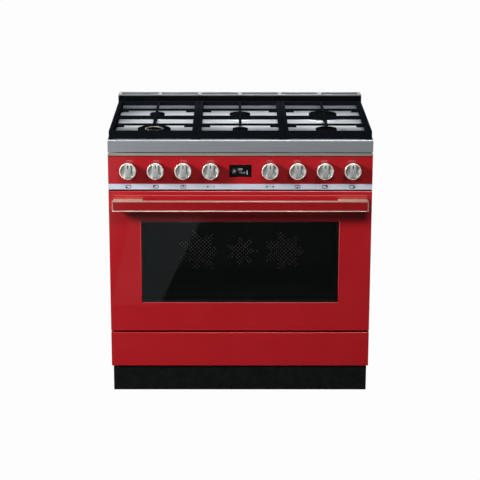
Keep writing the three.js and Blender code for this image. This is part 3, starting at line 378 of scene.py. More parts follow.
def in_star(x, z, radius):
    """Whether a place is inside a star of seven points round the origin."""
    turn = (atan2(z, x) * star_points / tau) % 1
    edge = star_waist + (1 - star_waist) * abs(2 * turn - 1)
    return hypot(x, z) < radius * edge


guard_enamel = finish("guard_enamel", srgb(22, 24, 25), srgb(34, 36, 38), (0.25, 0.35), even_grain, 500,
                      Coat_Weight=0.3)
rim_steel = finish("punched_rim", srgb(205, 208, 205), srgb(235, 238, 235), (0.4, 0.5), even_grain, 300,
                   Metallic=0.3)
softened("fan_cover", "fan_guard", guard_enamel, "root", "black_enamel", 0.0008)
bm = bmesh.new()
for star_x, star_radius in zip(star_xs, star_radii):
    steps = 2 * int(star_radius / hole_pitch) + 2
    for row in range(-steps, steps + 1):
        for column in range(-steps, steps + 1):
            x, z = (column + row % 2 / 2) * hole_pitch, row * hole_pitch / 2
            if in_star(x, z, star_radius):
                middle = Matrix.Translation((star_x + x, guard_front - hole_proud, star_z + z))
                bmesh.ops.create_circle(bm, cap_ends=True, radius=hole_radius, segments=hole_sides,
                                        matrix=middle @ Matrix.Rotation(pi / 2, 4, "X"))
faces = bm.faces[:]
bmesh.ops.inset_individual(bm, faces=faces, thickness=hole_rim)
bmesh.ops.delete(bm, geom=faces, context="FACES")
finished("fan_guard_stars", bm, rim_steel, "root", "black_enamel")

# Convection fans
# Stamped steel wheels on the motors' shafts, behind the guard.
fan_steel = finish("fan_steel", srgb(46, 48, 50), srgb(66, 68, 70), (0.4, 0.5), even_grain, 250, Metallic=0.8)
for node in ("fan_left", "fan_centre", "fan_right"):
    dress(node, fan_steel)


# Grill element, side racks and shelf
# A sheathed heating tube bent in a zigzag, and chromed wire that is bent and spot-welded.
bend_radii = 4


def wires(name, paths, radius, material, body, replaces=()):
    """Round wires along lists of points, with each corner bent round."""
    curve = bpy.data.curves.new(name, "CURVE")
    curve.dimensions, curve.bevel_depth, curve.bevel_resolution = "3D", radius, 2
    curve.use_fill_caps = True
    for path in paths:
        points = []
        for index, point in enumerate(path):
            here = Vector(point)
            if 0 < index < len(path) - 1:
                before, after = Vector(path[index - 1]) - here, Vector(path[index + 1]) - here
                bend = min(bend_radii * radius, before.length / 2, after.length / 2)
                start, end = here + bend * before.normalized(), here + bend * after.normalized()
                points += [start.lerp(here, t).lerp(here.lerp(end, t), t) for t in (0, 0.25, 0.5, 0.75, 1)]
            else:
                points.append(here)
        spline = curve.splines.new("POLY")
        spline.points.add(len(points) - 1)
        for target, point in zip(spline.points, points):
            target.co = (*point, 1)
    piece = bpy.data.objects.new(name, curve)
    bpy.context.scene.collection.objects.link(piece)
    curve.materials.append(material)
    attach(piece, body)
    if replaces:
        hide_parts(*replaces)
    return piece


heated_steel = finish("heated_steel", srgb(62, 56, 54), srgb(104, 96, 90), (0.4, 0.6), even_grain, 120,
                      Metallic=0.8)
grill_low, grill_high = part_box("grill_element")
grill_radius, grill_z = (grill_high.z - grill_low.z) / 2, (grill_low.z + grill_high.z) / 2
grill_runs, grill_half = 6, grill_high.x - grill_radius
grill_near, grill_far, grill_tail = grill_low.y + grill_radius, 0.122, grill_high.y
path = [(-grill_half, grill_tail, grill_z)]
for run in range(grill_runs):
    x = -grill_half + run * 2 * grill_half / (grill_runs - 1)
    if run:
        path.append((x, grill_near if run % 2 else grill_far, grill_z))
    path.append((x, grill_far if run % 2 else grill_near, grill_z))
path[-1] = (grill_half, grill_tail, grill_z)
wires("grill_tube", [path], grill_radius, heated_steel, "root", ("grill_element",))

chromed = finish("chromed_wire", srgb(196, 198, 200), srgb(226, 228, 230), (0.12, 0.2), even_grain, 100,
                 Metallic=1.0)
wire_radius, thin_wire_radius, rail_overhang, pin_inset = 0.0025, 0.00125, 0.003, 0.010
upright_to_wall, rail_to_wall, rail_start, rail_pitch, rail_count = 0.0057, 0.0102, 0.040, 0.066, 5
for side, name in ((-1, "left"), (1, "right")):
    node = f"side_rack_{name}"
    low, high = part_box(node)
    wall = high.x if side > 0 else low.x
    upright, rail = wall - side * upright_to_wall, wall - side * rail_to_wall
    upright_ys = (low.y + rail_overhang, high.y - rail_overhang)
    pin_zs = (low.z + pin_inset, high.z - pin_inset)
    rail_zs = [low.z + rail_start + rail_pitch * level for level in range(rail_count)]
    wires(f"rack_wires_{name}",
          [[(upright, y, low.z), (upright, y, high.z)] for y in upright_ys]
          + [[(upright, y, z), (wall, y, z)] for y in upright_ys for z in pin_zs]
          + [[(rail, low.y, z), (rail, high.y, z)] for z in rail_zs],
          wire_radius, chromed, "root", (node,))
shelf_low, shelf_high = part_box("oven_shelf")
packed_wire_reach, shelf_wire_count, shelf_wire_lift = wire_radius * cos(pi / 6), 29, 0.001
shelf_half, shelf_z = shelf_high.x - packed_wire_reach, (shelf_low.z + shelf_high.z) / 2
shelf_near, shelf_far = shelf_low.y + packed_wire_reach, shelf_high.y - packed_wire_reach
wires("shelf_frame", [[(-shelf_half, shelf_near, shelf_z), (-shelf_half, shelf_far, shelf_z),
                       (shelf_half, shelf_far, shelf_z), (shelf_half, shelf_near, shelf_z),
                       (-shelf_half, shelf_near, shelf_z)]], wire_radius, chromed, "root",
      ("oven_shelf",))
shelf_wire_xs = [shelf_half * (2 * (n + 1) / (shelf_wire_count + 1) - 1) for n in range(shelf_wire_count)]
shelf_wire_z = shelf_z + shelf_wire_lift
wires("shelf_wires", [[(x, shelf_near, shelf_wire_z), (x, shelf_far, shelf_wire_z)] for x in shelf_wire_xs],
      thin_wire_radius, chromed, "root")

# Oven tray
# A pressed and enamelled tray that hangs by its rim on the lowest rails.
softened("oven_tray", "enamelled_tray", black_enamel, "root", "black_enamel", 0.0007, 2, 60)

# Oven door
# A folded and enamelled outer panel with a raised lip round its wide window, a black strip along its
# top that is painted shade in the gap over the door, two panes of dark glass, and the inner frame that
# holds them together.
red_enamel = finish("red_enamel", srgb(160, 21, 28), srgb(163, 23, 30), (0.3, 0.36), even_grain, 8,
                    Specular_IOR_Level=0.2, Coat_Weight=0.8, Coat_IOR=1.6, Coat_Roughness=0.03)
softened("door_outer_panel", "door_skin", red_enamel, "door", "red_enamel", 0.0010, 3)


def slab(bm, low, high):
    """A block between two corners; gives its faces."""
    low, high = Vector(low), Vector(high)
    made = bmesh.ops.create_cube(bm, size=1, matrix=Matrix.Translation((low + high) / 2)
                                 @ Matrix.Diagonal((*(high - low), 1)))
    return list({face for vert in made["verts"] for face in vert.link_faces})


def rounded(bm, faces, edge, segments=2):
    """The same block with all its edges rounded."""
    edges = list({e for face in faces for e in face.edges})
    bmesh.ops.bevel(bm, geom=edges, offset=edge, offset_type="OFFSET", affect="EDGES", segments=segments,
                    profile=0.5, material=-1, clamp_overlap=True)


skin_low, skin_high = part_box("door_outer_panel")
# Black strips on the door's top and under the trim: painted shade in the gap over the door and in the joint.
painted_shade_black = finish("painted_shade_black", srgb(9, 9, 9), srgb(14, 14, 14), (0.8, 0.9), even_grain, 400,
                    Specular_IOR_Level=0.0)
top_shade_strip_inset, top_shade_strip_thickness, top_shade_strip_depth = 0.0010, 0.0010, 0.022
top_shade_strip_gap, top_shade_strip_edge = 0.0001, 0.0003
bm = bmesh.new()
faces = slab(bm, (skin_low.x + top_shade_strip_inset, skin_low.y + top_shade_strip_inset, skin_high.z + top_shade_strip_gap),
             (skin_high.x - top_shade_strip_inset, skin_low.y + top_shade_strip_depth, skin_high.z + top_shade_strip_thickness))
rounded(bm, faces, top_shade_strip_edge, 1)
finished("door_top_shade_strip", bm, painted_shade_black, "door", "seal_rubber")
pane_low, pane_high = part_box("door_outer_glass")
pane_overlap = 0.0055
window_half, window_sill = pane_high.x - pane_overlap, pane_low.z + pane_overlap
window_head = pane_high.z - pane_overlap
lip_width, lip_head_width, lip_rise, lip_sink, lip_crest = 0.0040, 0.0006, 0.0008, 0.0004, 0.55
bm = bmesh.new()
loops = [[bm.verts.new((x * (window_half + share * lip_width), skin_low.y + back, z))
          for x, z in ((-1, window_sill - share * lip_width), (1, window_sill - share * lip_width),
                       (1, window_head + share * lip_head_width), (-1, window_head + share * lip_head_width))]
         for share, back in ((1, 0), (lip_crest, -lip_rise), (0, lip_sink), (1, lip_sink))]
for outer, inner in zip(loops, loops[1:] + loops[:1]):
    for index in range(4):
        bm.faces.new((outer[index - 1], outer[index], inner[index], inner[index - 1]))
finished("window_lip", bm, red_enamel, "door", "red_enamel")

inner_black = finish("inner_frame_paint", srgb(24, 25, 26), srgb(32, 33, 34), (0.4, 0.5), even_grain, 300)
dress("door_inner_frame", inner_black)
window_glass = finish("window_glass", srgb(6, 8, 8), srgb(8, 10, 10), (0.02, 0.03), even_grain, 3,
                      Alpha=0.35, Specular_IOR_Level=1.0, Coat_Weight=1.0, Coat_IOR=1.8)
clear_glass = finish("clear_glass", srgb(6, 8, 8), srgb(8, 10, 10), (0.02, 0.03), even_grain, 3, Alpha=0.12)
dress("door_outer_glass", window_glass)
dress("door_inner_glass", clear_glass)

# Hinges and door seal
# Zinc-plated arms that hook into the front frame, and a heat-proof gasket round the oven's mouth.
dress("hinge_arm_left", galvanised)
dress("hinge_arm_right", galvanised)
seal_rubber = finish("seal_rubber", srgb(28, 28, 28), srgb(44, 44, 43), (0.85, 0.95), even_grain, 900, 0.0006)
dress("door_seal", seal_rubber)

# Door handle
# A flat steel bar with a red enamelled face let into it, on a wide polished block at each end.
brushed_lines = texture_group("brushed_lines", (1, 90, 90))
stainless = finish("polished_steel", srgb(222, 200, 188), srgb(230, 208, 196), (0.28, 0.32), even_grain, 30,
                   Metallic=0.8)
bracket_steel = finish("bracket_steel", srgb(172, 164, 132), srgb(180, 172, 140), (0.30, 0.34),
                       even_grain, 30, Metallic=0.35)
bar_enamel = finish("handle_enamel", srgb(138, 15, 20), srgb(142, 17, 22), (0.3, 0.36), even_grain, 8,
                    Specular_IOR_Level=0.2, Coat_Weight=0.8, Coat_IOR=1.6, Coat_Roughness=0.03)
bar_low, bar_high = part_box("handle_bar")
bar_border, bar_recess, bar_edge, block_edge = 0.0032, 0.0008, 0.0008, 0.0012
inlay_gap, inlay_sink, inlay_edge = 0.0002, 0.0001, 0.0003
bm = bmesh.new()
faces = slab(bm, bar_low, bar_high)
bm.normal_update()
front = [face for face in faces if face.normal.y < -0.5]
bmesh.ops.inset_region(bm, faces=front, thickness=bar_border, depth=0)
extruded = bmesh.ops.extrude_face_region(bm, geom=front)
bmesh.ops.delete(bm, geom=front, context="FACES")
bmesh.ops.translate(bm, verts=[v for v in extruded["geom"] if isinstance(v, bmesh.types.BMVert)],
                    vec=(0, bar_recess, 0))
bar = finished("handle_bar_body", bm, stainless, "door", "stainless", replaces=("handle_bar",))
bevel = bar.modifiers.new("edge", "BEVEL")
bevel.width, bevel.segments, bevel.limit_method = bar_edge, 2, "ANGLE"
bm = bmesh.new()
inlay_inset = bar_border + inlay_gap
faces = slab(bm, (bar_low.x + inlay_inset, bar_low.y + inlay_sink, bar_low.z + inlay_inset),
             (bar_high.x - inlay_inset, bar_low.y + bar_recess - inlay_sink, bar_high.z - inlay_inset))
rounded(bm, faces, inlay_edge, 1)
finished("handle_bar_face", bm, bar_enamel, "door", "red_enamel")
for side in ("left", "right"):
    node = f"handle_bracket_{side}"
    bm = bmesh.new()
    rounded(bm, slab(bm, *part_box(node)), block_edge)
    finished(f"handle_block_{side}", bm, bracket_steel, "door", "stainless", replaces=(node,))

# Storage drawer front
# A folded panel in the door's red enamel, plain from side to side.
softened("drawer_front", "drawer_panel", red_enamel, "drawer", "red_enamel", 0.0014, 3)

# Control panel
# An enamelled tray with a hole for each spindle, printed marks round the knobs, a bright strip of
# printed symbols under it and a narrow steel trim above it.
softened("control_panel", "control_panel_tray", red_enamel, "root", "red_enamel", 0.0012, 3, rim_only=True)
strip_metal = finish("symbol_strip_metal", srgb(194, 202, 216), srgb(206, 212, 226), (0.4, 0.5),
                     brushed_lines, 7, Metallic=0.35)
softened("symbol_strip", "symbol_strip_face", strip_metal, "root", "bright_strip", 0.0005)
trim_metal = finish("trim_metal", srgb(162, 156, 148), srgb(178, 171, 163), (0.35, 0.45), brushed_lines, 7,
                    Metallic=0.7)
softened("trim_strip", "trim_strip_face", trim_metal, "root", "stainless", 0.0006)

# A black strip in the joint under the trim and a black sheet behind the gap over the door: painted shade that
# makes the joint and the gap dark.
trim_low, trim_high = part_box("trim_strip")
trim_shade_strip_below, trim_shade_strip_above, trim_shade_strip_proud = 0.0012, 0.0010, 0.0003
trim_shade_strip_inset, trim_shade_strip_edge = 0.0004, 0.0002
bm = bmesh.new()
faces = slab(bm, (trim_low.x + trim_shade_strip_inset, trim_low.y - trim_shade_strip_proud, trim_low.z - trim_shade_strip_below),
             (trim_high.x - trim_shade_strip_inset, trim_low.y + trim_shade_strip_proud, trim_low.z + trim_shade_strip_above))
rounded(bm, faces, trim_shade_strip_edge, 1)
finished("trim_shade_strip", bm, painted_shade_black, "root", "seal_rubber")
strip_low, strip_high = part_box("symbol_strip")
# The black sheet behind the gap over the door is painted shade.
gap_shade_sheet_inset, gap_shade_sheet_set_back, gap_shade_sheet_depth = 0.002, 0.003, 0.010
gap_shade_sheet_gap_below, gap_shade_sheet_gap_above, gap_shade_sheet_edge = 0.0017, 0.0002, 0.0004
gap_shade_sheet_front = strip_low.y + gap_shade_sheet_set_back
bm = bmesh.new()
faces = slab(bm, (strip_low.x + gap_shade_sheet_inset, gap_shade_sheet_front, skin_high.z + gap_shade_sheet_gap_below),
             (strip_high.x - gap_shade_sheet_inset, gap_shade_sheet_front + gap_shade_sheet_depth, strip_low.z - gap_shade_sheet_gap_above))
rounded(bm, faces, gap_shade_sheet_edge, 1)
finished("gap_shade_sheet", bm, black_enamel, "root", "black_enamel")

knob_boxes = [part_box(f"knob_{number}") for number in range(1, 9)]
knob_xs = [(low.x + high.x) / 2 for low, high in knob_boxes]
knob_z, panel_y = (knob_boxes[0][0].z + knob_boxes[0][1].z) / 2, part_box("control_panel")[0].y
print_depth = 0.00025
dark_print = finish("dark_red_print", srgb(78, 6, 12), srgb(92, 9, 15), (0.5, 0.6), even_grain, 500)
blue_print = finish("dark_blue_print", srgb(26, 32, 62), srgb(34, 40, 72), (0.5, 0.6), even_grain, 500)


def printed_dot(bm, x, z, radius, tall=1.0, steps=12):
    """A filled round or oval mark, printed on the front plane."""
    made = bmesh.ops.create_circle(bm, cap_ends=True, radius=radius, segments=steps,
                                   matrix=Matrix.Translation((x, panel_y, z))
                                   @ Matrix.Diagonal((1, 1, tall, 1)) @ Matrix.Rotation(pi / 2, 4, "X"))
    thicken(bm, made["verts"])


def thicken(bm, verts):
    """Flat marks get the thickness of their print."""
    faces = list({face for vert in verts for face in vert.link_faces})
    made = bmesh.ops.extrude_face_region(bm, geom=faces)
    bmesh.ops.translate(bm, verts=[v for v in made["geom"] if isinstance(v, bmesh.types.BMVert)],
                        vec=(0, -print_depth, 0))


def printed_frame(bm, x, z, width, height, line, corner, steps=4):
    """A rounded outline, printed on the front plane."""
    half_width, half_height = width / 2 - corner, height / 2 - corner
    outer, inner = [[bm.verts.new((x + side_x * half_width + (corner - inset) * cos(turn), panel_y,
                                   z + side_z * half_height + (corner - inset) * sin(turn)))
                     for quarter, (side_x, side_z) in enumerate(((1, 1), (-1, 1), (-1, -1), (1, -1)))
                     for turn in ((quarter + step / steps) * pi / 2 for step in range(steps + 1))]
                    for inset in (0, line)]
    for index in range(len(outer)):
        bm.faces.new((outer[index - 1], outer[index], inner[index], inner[index - 1]))
    thicken(bm, outer + inner)


# Marks round a knob: the angle from the top to the left, how tall and how large. A gas knob has off,
# full and low, an oven knob off and seven steps to the right.
mark_radius, mark_ring = 0.0026, 0.0385
gas_marks = [(0, 1, 1.0), (90, 1.9, 1.0), (210, 1.7, 0.7)]
oven_marks = [(0, 1, 1.0)] + [(-step, 1, 0.55) for step in range(45, 316, 45)]
bm = bmesh.new()
for index, x in enumerate(knob_xs):
    for turn, tall, size in oven_marks if index in (3, 4) else gas_marks:
        printed_dot(bm, x - mark_ring * sin(radians(turn)), knob_z + mark_ring * cos(radians(turn)),
                    size * mark_radius, tall)
finished("panel_marks", bm, dark_print, "root", "red_enamel")

# Symbols on the strip: for a gas knob a hob with a dot at its burner's place, for an oven knob three
# dots, each with its offset, radius and how tall it is.
strip_z = (strip_low.z + strip_high.z) / 2
icon_width, icon_height, icon_line, icon_corner = 0.0190, 0.0120, 0.0020, 0.003
icon_dot, icon_dot_across, icon_dot_up = 0.0028, 0.27 * icon_width, 0.17 * icon_height
thermostat_dots = ((-0.010, 0.0028, 1), (0.0, 0.0011, 1), (0.011, 0.0015, 2.2))
function_dots = ((-0.011, 0.0030, 1), (0.0, 0.0013, 1), (0.011, 0.0030, 1))
hob_places = {0: (-1, -1), 1: (-1, 1), 2: (0, 1), 5: (0, -1), 6: (1, 1), 7: (1, -1)}
bm = bmesh.new()
for index, (column, row) in hob_places.items():
    printed_frame(bm, knob_xs[index], strip_z, icon_width, icon_height, icon_line, icon_corner)
    printed_dot(bm, knob_xs[index] + column * icon_dot_across, strip_z + row * icon_dot_up, icon_dot)
for middle, dots in ((knob_xs[3], thermostat_dots), (knob_xs[4], function_dots)):
    for offset, radius, tall in dots:
        printed_dot(bm, middle + offset, strip_z, radius, tall)
finished("strip_symbols", bm, blue_print, "root", "bright_strip")

# Clock and oven switches
# One carrier behind the panel. Its dark window is level with the panel and shows a round symbol
# with rays, the oven's temperature, the time and an upright bar.
display_black = finish("display_black", srgb(10, 11, 12), srgb(14, 15, 16), (0.08, 0.14), even_grain, 20)
dress("oven_controls", display_black)
segment_dark, segment_light = srgb(120, 122, 126), srgb(176, 178, 180)
segment_glow, segment_glow_strength, segment_grain = srgb(150, 152, 154), 0.22, 300
lit = bpy.data.materials.new("lit_segments")
lit.use_nodes = True
nodes, links = lit.node_tree.nodes, lit.node_tree.links
shader, grain = nodes["Principled BSDF"], nodes.new("ShaderNodeTexNoise")
tone = nodes.new("ShaderNodeValToRGB")
shader.inputs["Roughness"].default_value = 0.5
shader.inputs["Emission Color"].default_value = segment_glow
shader.inputs["Emission Strength"].default_value = segment_glow_strength
grain.inputs["Scale"].default_value = segment_grain
tone.color_ramp.elements[0].color = segment_dark
tone.color_ramp.elements[1].color = segment_light
links.new(nodes.new("ShaderNodeTexCoord").outputs["Object"], grain.inputs["Vector"])
links.new(grain.outputs["Fac"], tone.inputs["Fac"])
links.new(tone.outputs["Color"], shader.inputs["Base Color"])


def lettering(bm, words, x, z, height):
    """Flat type turned into a mesh on the display's face."""
    type_curve = bpy.data.curves.new("type", "FONT")
    type_curve.body, type_curve.size, type_curve.extrude = words, height, print_depth / 2
    holder = bpy.data.objects.new("type", type_curve)
    bpy.context.scene.collection.objects.link(holder)
    bpy.context.view_layer.update()
    mesh = bpy.data.meshes.new_from_object(holder)
    mesh.transform(Matrix.Translation((x, panel_y - print_depth / 2, z)) @ Matrix.Rotation(pi / 2, 4, "X"))
    bm.from_mesh(mesh)
    bpy.data.objects.remove(holder)


display_low, display_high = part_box("oven_controls")
display_z = (display_low.z + display_high.z) / 2
sun_x, sun_z, sun_radius = -0.0215, display_z - 0.001, 0.0026
ray_reach, ray_radius, ray_count = 0.0066, 0.0010, 8
level_width, level_height = 0.0028, 0.0140
level_low = Vector((0.0215, panel_y - print_depth, display_z - 0.0125))
bm = bmesh.new()
lettering(bm, "180", -0.0100, display_z + 0.0015, 0.0115)
lettering(bm, "12:30", -0.0030, display_z - 0.0085, 0.0085)
printed_dot(bm, sun_x, sun_z, sun_radius, 1, 20)
for ray in range(ray_count):
    turn = ray * tau / ray_count
    printed_dot(bm, sun_x + ray_reach * cos(turn), sun_z + ray_reach * sin(turn), ray_radius, 1, 8)
slab(bm, level_low, level_low + Vector((level_width, print_depth, level_height)))
finished("display_segments", bm, lit, "root", "control_plastic")

# Knobs and spindles
# Each knob is turned and milled from satin metal: a polished ring, a groove and a hollow inside it,
# and a wide grip across it with a dark red line at its top and a short dark mark at its foot that is
# painted shade under the grip's end. The knob's side and the grip's side walls take a darker polished
# metal, painted shade on them. Brass spindles join the gas knobs to their taps.
rail_brass = finish("rail_brass", srgb(150, 120, 62), srgb(190, 158, 92), (0.3, 0.42), even_grain, 200,
                    Metallic=0.95)
dress("gas_rail", rail_brass)
for number in (1, 2, 3, 6, 7, 8):
    dress(f"spindle_{number}", rail_brass)
knob_lines = texture_group("knob_lines", (60, 60, 1))
knob_metal = finish("satin_knob", srgb(206, 210, 206), srgb(214, 218, 214), (0.24, 0.28), knob_lines, 16,
                    0.000002, Metallic=0.6)
line_and_shade_enamel = finish("line_and_shade_enamel", srgb(56, 6, 14), srgb(70, 9, 18), (0.4, 0.5), even_grain, 400)
rim_metal = finish("polished_rim", srgb(236, 226, 214), srgb(244, 234, 222), (0.26, 0.32), even_grain, 100,
                   Metallic=0.5)
# A darker copy of the knob's metal, polished: painted shade on the knob's side and the grip's side walls.
shaded_side_metal = finish("polished_shaded_side", srgb(138, 132, 128), srgb(146, 140, 136), (0.10, 0.14), even_grain,
                     100, Metallic=1.0)
knob_low, knob_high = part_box("knob_1")
knob_radius, knob_front, knob_rear = (knob_high.z - knob_low.z) / 2, knob_low.y, knob_high.y
knob_sides, knob_foot_edge, knob_edge, skirt_margin = 48, 0.001, 0.0016, 0.0004
rim_width, rim_depth, rim_inner_edge, rim_bevel = 0.0022, 0.0030, 0.0004, 0.3 * knob_edge
groove_width, groove_depth = 0.0012, 0.0040
hollow_depth, hollow_edge_depth, hollow_steps = 0.0065, 0.0010, 6
grip_rise, grip_width, grip_edge, grip_play = 0.0025, 0.0215, 0.0005, 0.0002
line_width, line_length, line_inset = 0.0034, 0.0115, 0.0028
# The mark at the grip's foot is painted shade under the grip's end.
foot_shade_width, foot_shade_height, foot_shade_inset = 0.0105, 0.0022, 0.0026
mark_proud, mark_sink, mark_edge = 0.0002, 0.0006, 0.0002
disc_front, inner = knob_front + grip_rise, knob_radius - knob_edge - rim_width
ring_front = disc_front - knob_rear
rim_floor, groove_floor = ring_front + rim_depth, ring_front + groove_depth
hollow = [((groove_width - inner) * share,
           ring_front + hollow_depth - (hollow_depth - hollow_edge_depth) * share ** 2)
          for share in (1 - step / hollow_steps for step in range(hollow_steps + 1))]
body_profile = [(0, 0), (knob_foot_edge - knob_radius, 0), (-knob_radius, -knob_foot_edge),
                (-knob_radius, rim_floor), (-inner, rim_floor), (-inner, groove_floor),
                (groove_width - inner, groove_floor)] + hollow
rim_profile = [(-inner, rim_floor), (-knob_radius, rim_floor), (-knob_radius, ring_front + knob_edge),
               (rim_bevel - knob_radius, ring_front + rim_bevel), (knob_edge - knob_radius, ring_front),
               (-inner - rim_inner_edge, ring_front), (-inner, ring_front + rim_inner_edge),
               (-inner, rim_floor)]
line_top = knob_z + inner - line_inset
foot_shade_top = knob_z - inner + foot_shade_inset + foot_shade_height
for index, x in enumerate(knob_xs):
    body = f"knob_{index + 1}"
    bm = bmesh.new()
    turned(bm, body_profile, (x, knob_rear, knob_z), "Y", knob_sides)
    knob = finished(f"knob_body_{index + 1}", bm, knob_metal, body, "knob_metal", replaces=(body,), sharp=28)
    # The knob's side takes the darker metal: painted shade.
    knob.data.materials.append(shaded_side_metal)
    for face in knob.data.polygons:
        reach = hypot(face.center.x - x, face.center.z - knob_z)
        face.material_index = int(reach > knob_radius - skirt_margin)
    bm = bmesh.new()
    turned(bm, rim_profile, (x, knob_rear, knob_z), "Y", knob_sides)
    finished(f"knob_rim_{index + 1}", bm, rim_metal, body, "knob_metal", sharp=50)
    bm = bmesh.new()
    bmesh.ops.create_circle(bm, cap_ends=True, radius=inner - groove_width - grip_play, segments=knob_sides,
                            matrix=Matrix.Translation((x, disc_front + hollow_depth, knob_z))
                            @ Matrix.Rotation(pi / 2, 4, "X"))
    for side in (-1, 1):
        bmesh.ops.bisect_plane(bm, geom=bm.verts[:] + bm.edges[:] + bm.faces[:], clear_outer=True,
                               plane_co=(x + side * grip_width / 2, 0, 0), plane_no=(side, 0, 0))
    raised = bmesh.ops.extrude_face_region(bm, geom=bm.faces[:])
    moved = [v for v in raised["geom"] if isinstance(v, bmesh.types.BMVert)]
    bmesh.ops.translate(bm, verts=moved, vec=(0, -(grip_rise + hollow_depth), 0))
    edges = [e for e in bm.edges if all(v in moved for v in e.verts)]
    bmesh.ops.bevel(bm, geom=edges, offset=grip_edge, offset_type="OFFSET", affect="EDGES", segments=3,
                    profile=0.5, material=-1)
    grip = finished(f"knob_grip_{index + 1}", bm, knob_metal, body, "knob_metal", sharp=40)
    # The grip's side walls take the darker metal: painted shade.
    grip.data.materials.append(shaded_side_metal)
    for face in grip.data.polygons:
        face.material_index = int(abs(face.normal.x) > 0.7)
    # The dark red line at the grip's top, and the mark at its foot, which is painted shade.
    bm = bmesh.new()
    for width, height, top in ((line_width, line_length, line_top),
                               (foot_shade_width, foot_shade_height, foot_shade_top)):
        rounded(bm, slab(bm, (x - width / 2, knob_front - mark_proud, top - height),
                         (x + width / 2, knob_front + mark_sink, top)), mark_edge, 1)
    finished(f"knob_line_and_foot_shade_{index + 1}", bm, line_and_shade_enamel, body, "red_enamel")

# Hob
# A pressed stainless top with a rolled front edge and a shallow basin, with a raised ring pressed
# round each burner.
hob_steel = finish("hob_stainless", srgb(154, 159, 164), srgb(160, 165, 170), (0.34, 0.36), brushed_lines, 5,
                   Metallic=0.62)
softened("hob_top", "hob_sheet", hob_steel, "root", "stainless", 0.0009, 2, 40)
burner_places = {}
for place in ("front_left", "rear_left", "front_centre", "rear_centre", "front_right", "rear_right"):
    low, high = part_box(f"burner_{place}")
    burner_places[place] = ((low.x + high.x) / 2, (low.y + high.y) / 2, (high.x - low.x) / 2)
seat, rest_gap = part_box("pan_support_left")[0].z, 0.0003
ring_gap, ring_width, ring_rise, ring_sides = 0.012, 0.009, 0.0011, 48
bm = bmesh.new()
for x, y, radius in burner_places.values():
    start = radius + ring_gap
    turned(bm, [(start + ring_width * share, ring_rise * sin(pi * share))
                for share in (0, 0.15, 0.35, 0.5, 0.65, 0.85, 1)], (x, y, seat - rest_gap), "Z", ring_sides)
finished("hob_pressings", bm, hob_steel, "root", "stainless")

# Upstand
# A black enamelled box along the back of the hob, closed by a stainless grille that lets the
# oven's hot air out.
upstand_enamel = finish("upstand_enamel", srgb(7, 9, 10), srgb(10, 12, 13), (0.5, 0.6), even_grain, 60,
                        Specular_IOR_Level=0.0)
softened("upstand", "upstand_box", upstand_enamel, "root", "black_enamel", 0.0012)
vent_steel = finish("vent_stainless", srgb(112, 115, 118), srgb(140, 143, 146), (0.34, 0.44),
                    brushed_lines, 14, Metallic=0.7)
softened("upstand_vent", "upstand_grille", vent_steel, "root", "stainless", 0.0009)

# Burners
# A cast aluminium crown with slots for the flames, a loose black cap, a spark electrode and a
# flame sensor. The wok burner has a second crown inside an open one, and a slim ring in its cap.
crown_metal = finish("burner_aluminium", srgb(24, 26, 30), srgb(38, 40, 44), (0.5, 0.65), even_grain, 300,
                     0.0003, Metallic=0.1, Specular_IOR_Level=0.0)
cap_enamel = finish("burner_cap_enamel", srgb(9, 10, 12), srgb(13, 15, 17), (0.5, 0.6), even_grain, 350,
                    0.0002, Specular_IOR_Level=0.0)
electrode_ceramic = finish("electrode_ceramic", srgb(206, 204, 196), srgb(226, 224, 218), (0.3, 0.4),
                           even_grain, 200)
wok_hole, wok_core, crown_slots, wok_slots, core_slots = 0.032, 0.022, 36, 56, 20
crown_height, crown_foot, crown_waist, crown_shoulder, crown_bevel = 0.009, 0.003, 0.003, 0.0085, 0.0012
slot_low, slot_high, slot_margin, slot_depth, slot_from = 0.0035, 0.008, 0.028, 0.0015, 0.8
cap_height, cap_gap, cap_side, cap_corner, cap_bevel, cap_sides = 0.006, 0.0001, 0.0025, 0.0008, 0.003, 40
cap_hole_edge = 0.002
throat_inset, throat_depth, throat_rise = 0.0095, 0.014, 0.0001
electrode_gap, electrode_sides = 0.0022, 12
electrode_profile = [(0, 0), (0.0022, 0), (0.0022, 0.0060), (0.0008, 0.0064), (0.0008, 0.0082), (0, 0.0082)]
wok_ring_profile = [(wok_hole - inset, height) for inset, height in (
    (0.0014, 0.0095), (0.0002, 0.0095), (0.0002, 0.0140), (0.0008, 0.0146), (0.0014, 0.0140),
    (0.0014, 0.0095))]


def crown(bm, x, y, radius, slots, hole=0.0):
    """A burner's crown: a foot, a waist and a band with a slot for each flame."""
    profile = [(radius, 0), (radius, crown_foot), (radius - crown_waist, crown_foot),
               (radius - crown_waist, crown_shoulder), (radius - crown_bevel, crown_height),
               (hole, crown_height), (hole, 0), (radius, 0)]
    turned(bm, profile, (x, y, seat), "Z", slots)
    bmesh.ops.recalc_face_normals(bm, faces=bm.faces[:])
    band = []
    for face in bm.faces:
        middle = face.calc_center_median()
        if (abs(face.normal.z) < 0.2 and slot_low < middle.z - seat < slot_high
                and (middle.xy - Vector((x, y))).length > radius * slot_from):
            band.append(face)
    bmesh.ops.inset_individual(bm, faces=band, thickness=radius * slot_margin, depth=-slot_depth)


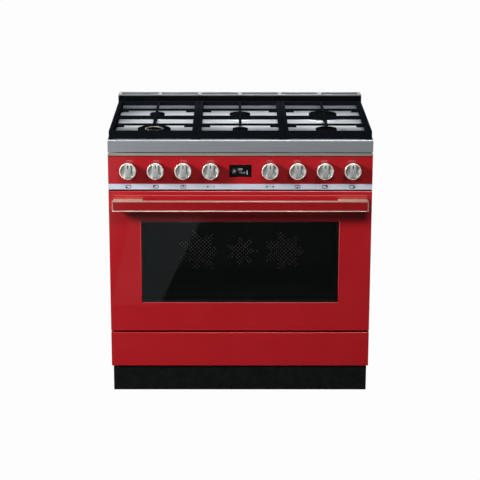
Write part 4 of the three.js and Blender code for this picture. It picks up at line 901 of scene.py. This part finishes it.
def cap(bm, x, y, radius, hole=0.0):
    """A burner's cap: a flat enamelled lid with a rounded edge, open in the middle for a ring."""
    low, high = crown_height + cap_gap, crown_height + cap_height
    profile = [(radius, low), (radius, high - cap_side), (radius - cap_corner, high - cap_corner),
               (radius - cap_bevel, high)]
    profile += [(hole + cap_hole_edge, high), (hole, high - cap_hole_edge)] if hole else [(0, high)]
    turned(bm, profile + [(hole, low), (radius, low)], (x, y, seat), "Z", cap_sides)


for place, (x, y, radius) in burner_places.items():
    wok = place == "front_left"
    throat = radius - throat_inset
    bm = bmesh.new()
    crown(bm, x, y, radius, wok_slots if wok else crown_slots, wok_hole if wok else 0.0)
    if wok:
        crown(bm, x, y, wok_core, core_slots)
    turned(bm, [(0, -throat_depth), (throat, -throat_depth), (throat, throat_rise), (0, throat_rise)],
           (x, y, seat))
    finished(f"crown_{place}", bm, crown_metal, "root", "burner_metal", replaces=(f"burner_{place}",))
    bm = bmesh.new()
    cap(bm, x, y, radius, wok_hole if wok else 0.0)
    if wok:
        cap(bm, x, y, wok_core)
    finished(f"cap_{place}", bm, cap_enamel, "root", "burner_metal")
    if wok:
        bm = bmesh.new()
        turned(bm, wok_ring_profile, (x, y, seat), "Z", cap_sides)
        finished("wok_ring", bm, rim_metal, "root", "burner_metal")
    bm = bmesh.new()
    for side in (-1, 1):
        electrode_x = x + side * (radius * cos(pi / 4) + electrode_gap)
        electrode_y = y + radius * sin(pi / 4) + electrode_gap
        turned(bm, electrode_profile, (electrode_x, electrode_y, seat), "Z", electrode_sides)
    finished(f"electrodes_{place}", bm, electrode_ceramic, "root", "burner_metal")

# Pan supports
# Three cast-iron grids in matt enamel, one over each pair of burners, that lift off for cleaning.
cast_iron = finish("cast_iron", srgb(11, 14, 18), srgb(17, 20, 25), (0.6, 0.75), even_grain, 420, 0.0004,
                   Specular_IOR_Level=0.0)
for side in ("left", "centre", "right"):
    softened(f"pan_support_{side}", f"grid_{side}", cast_iron, f"pan_support_{side}", "iron", 0.0016, 2)
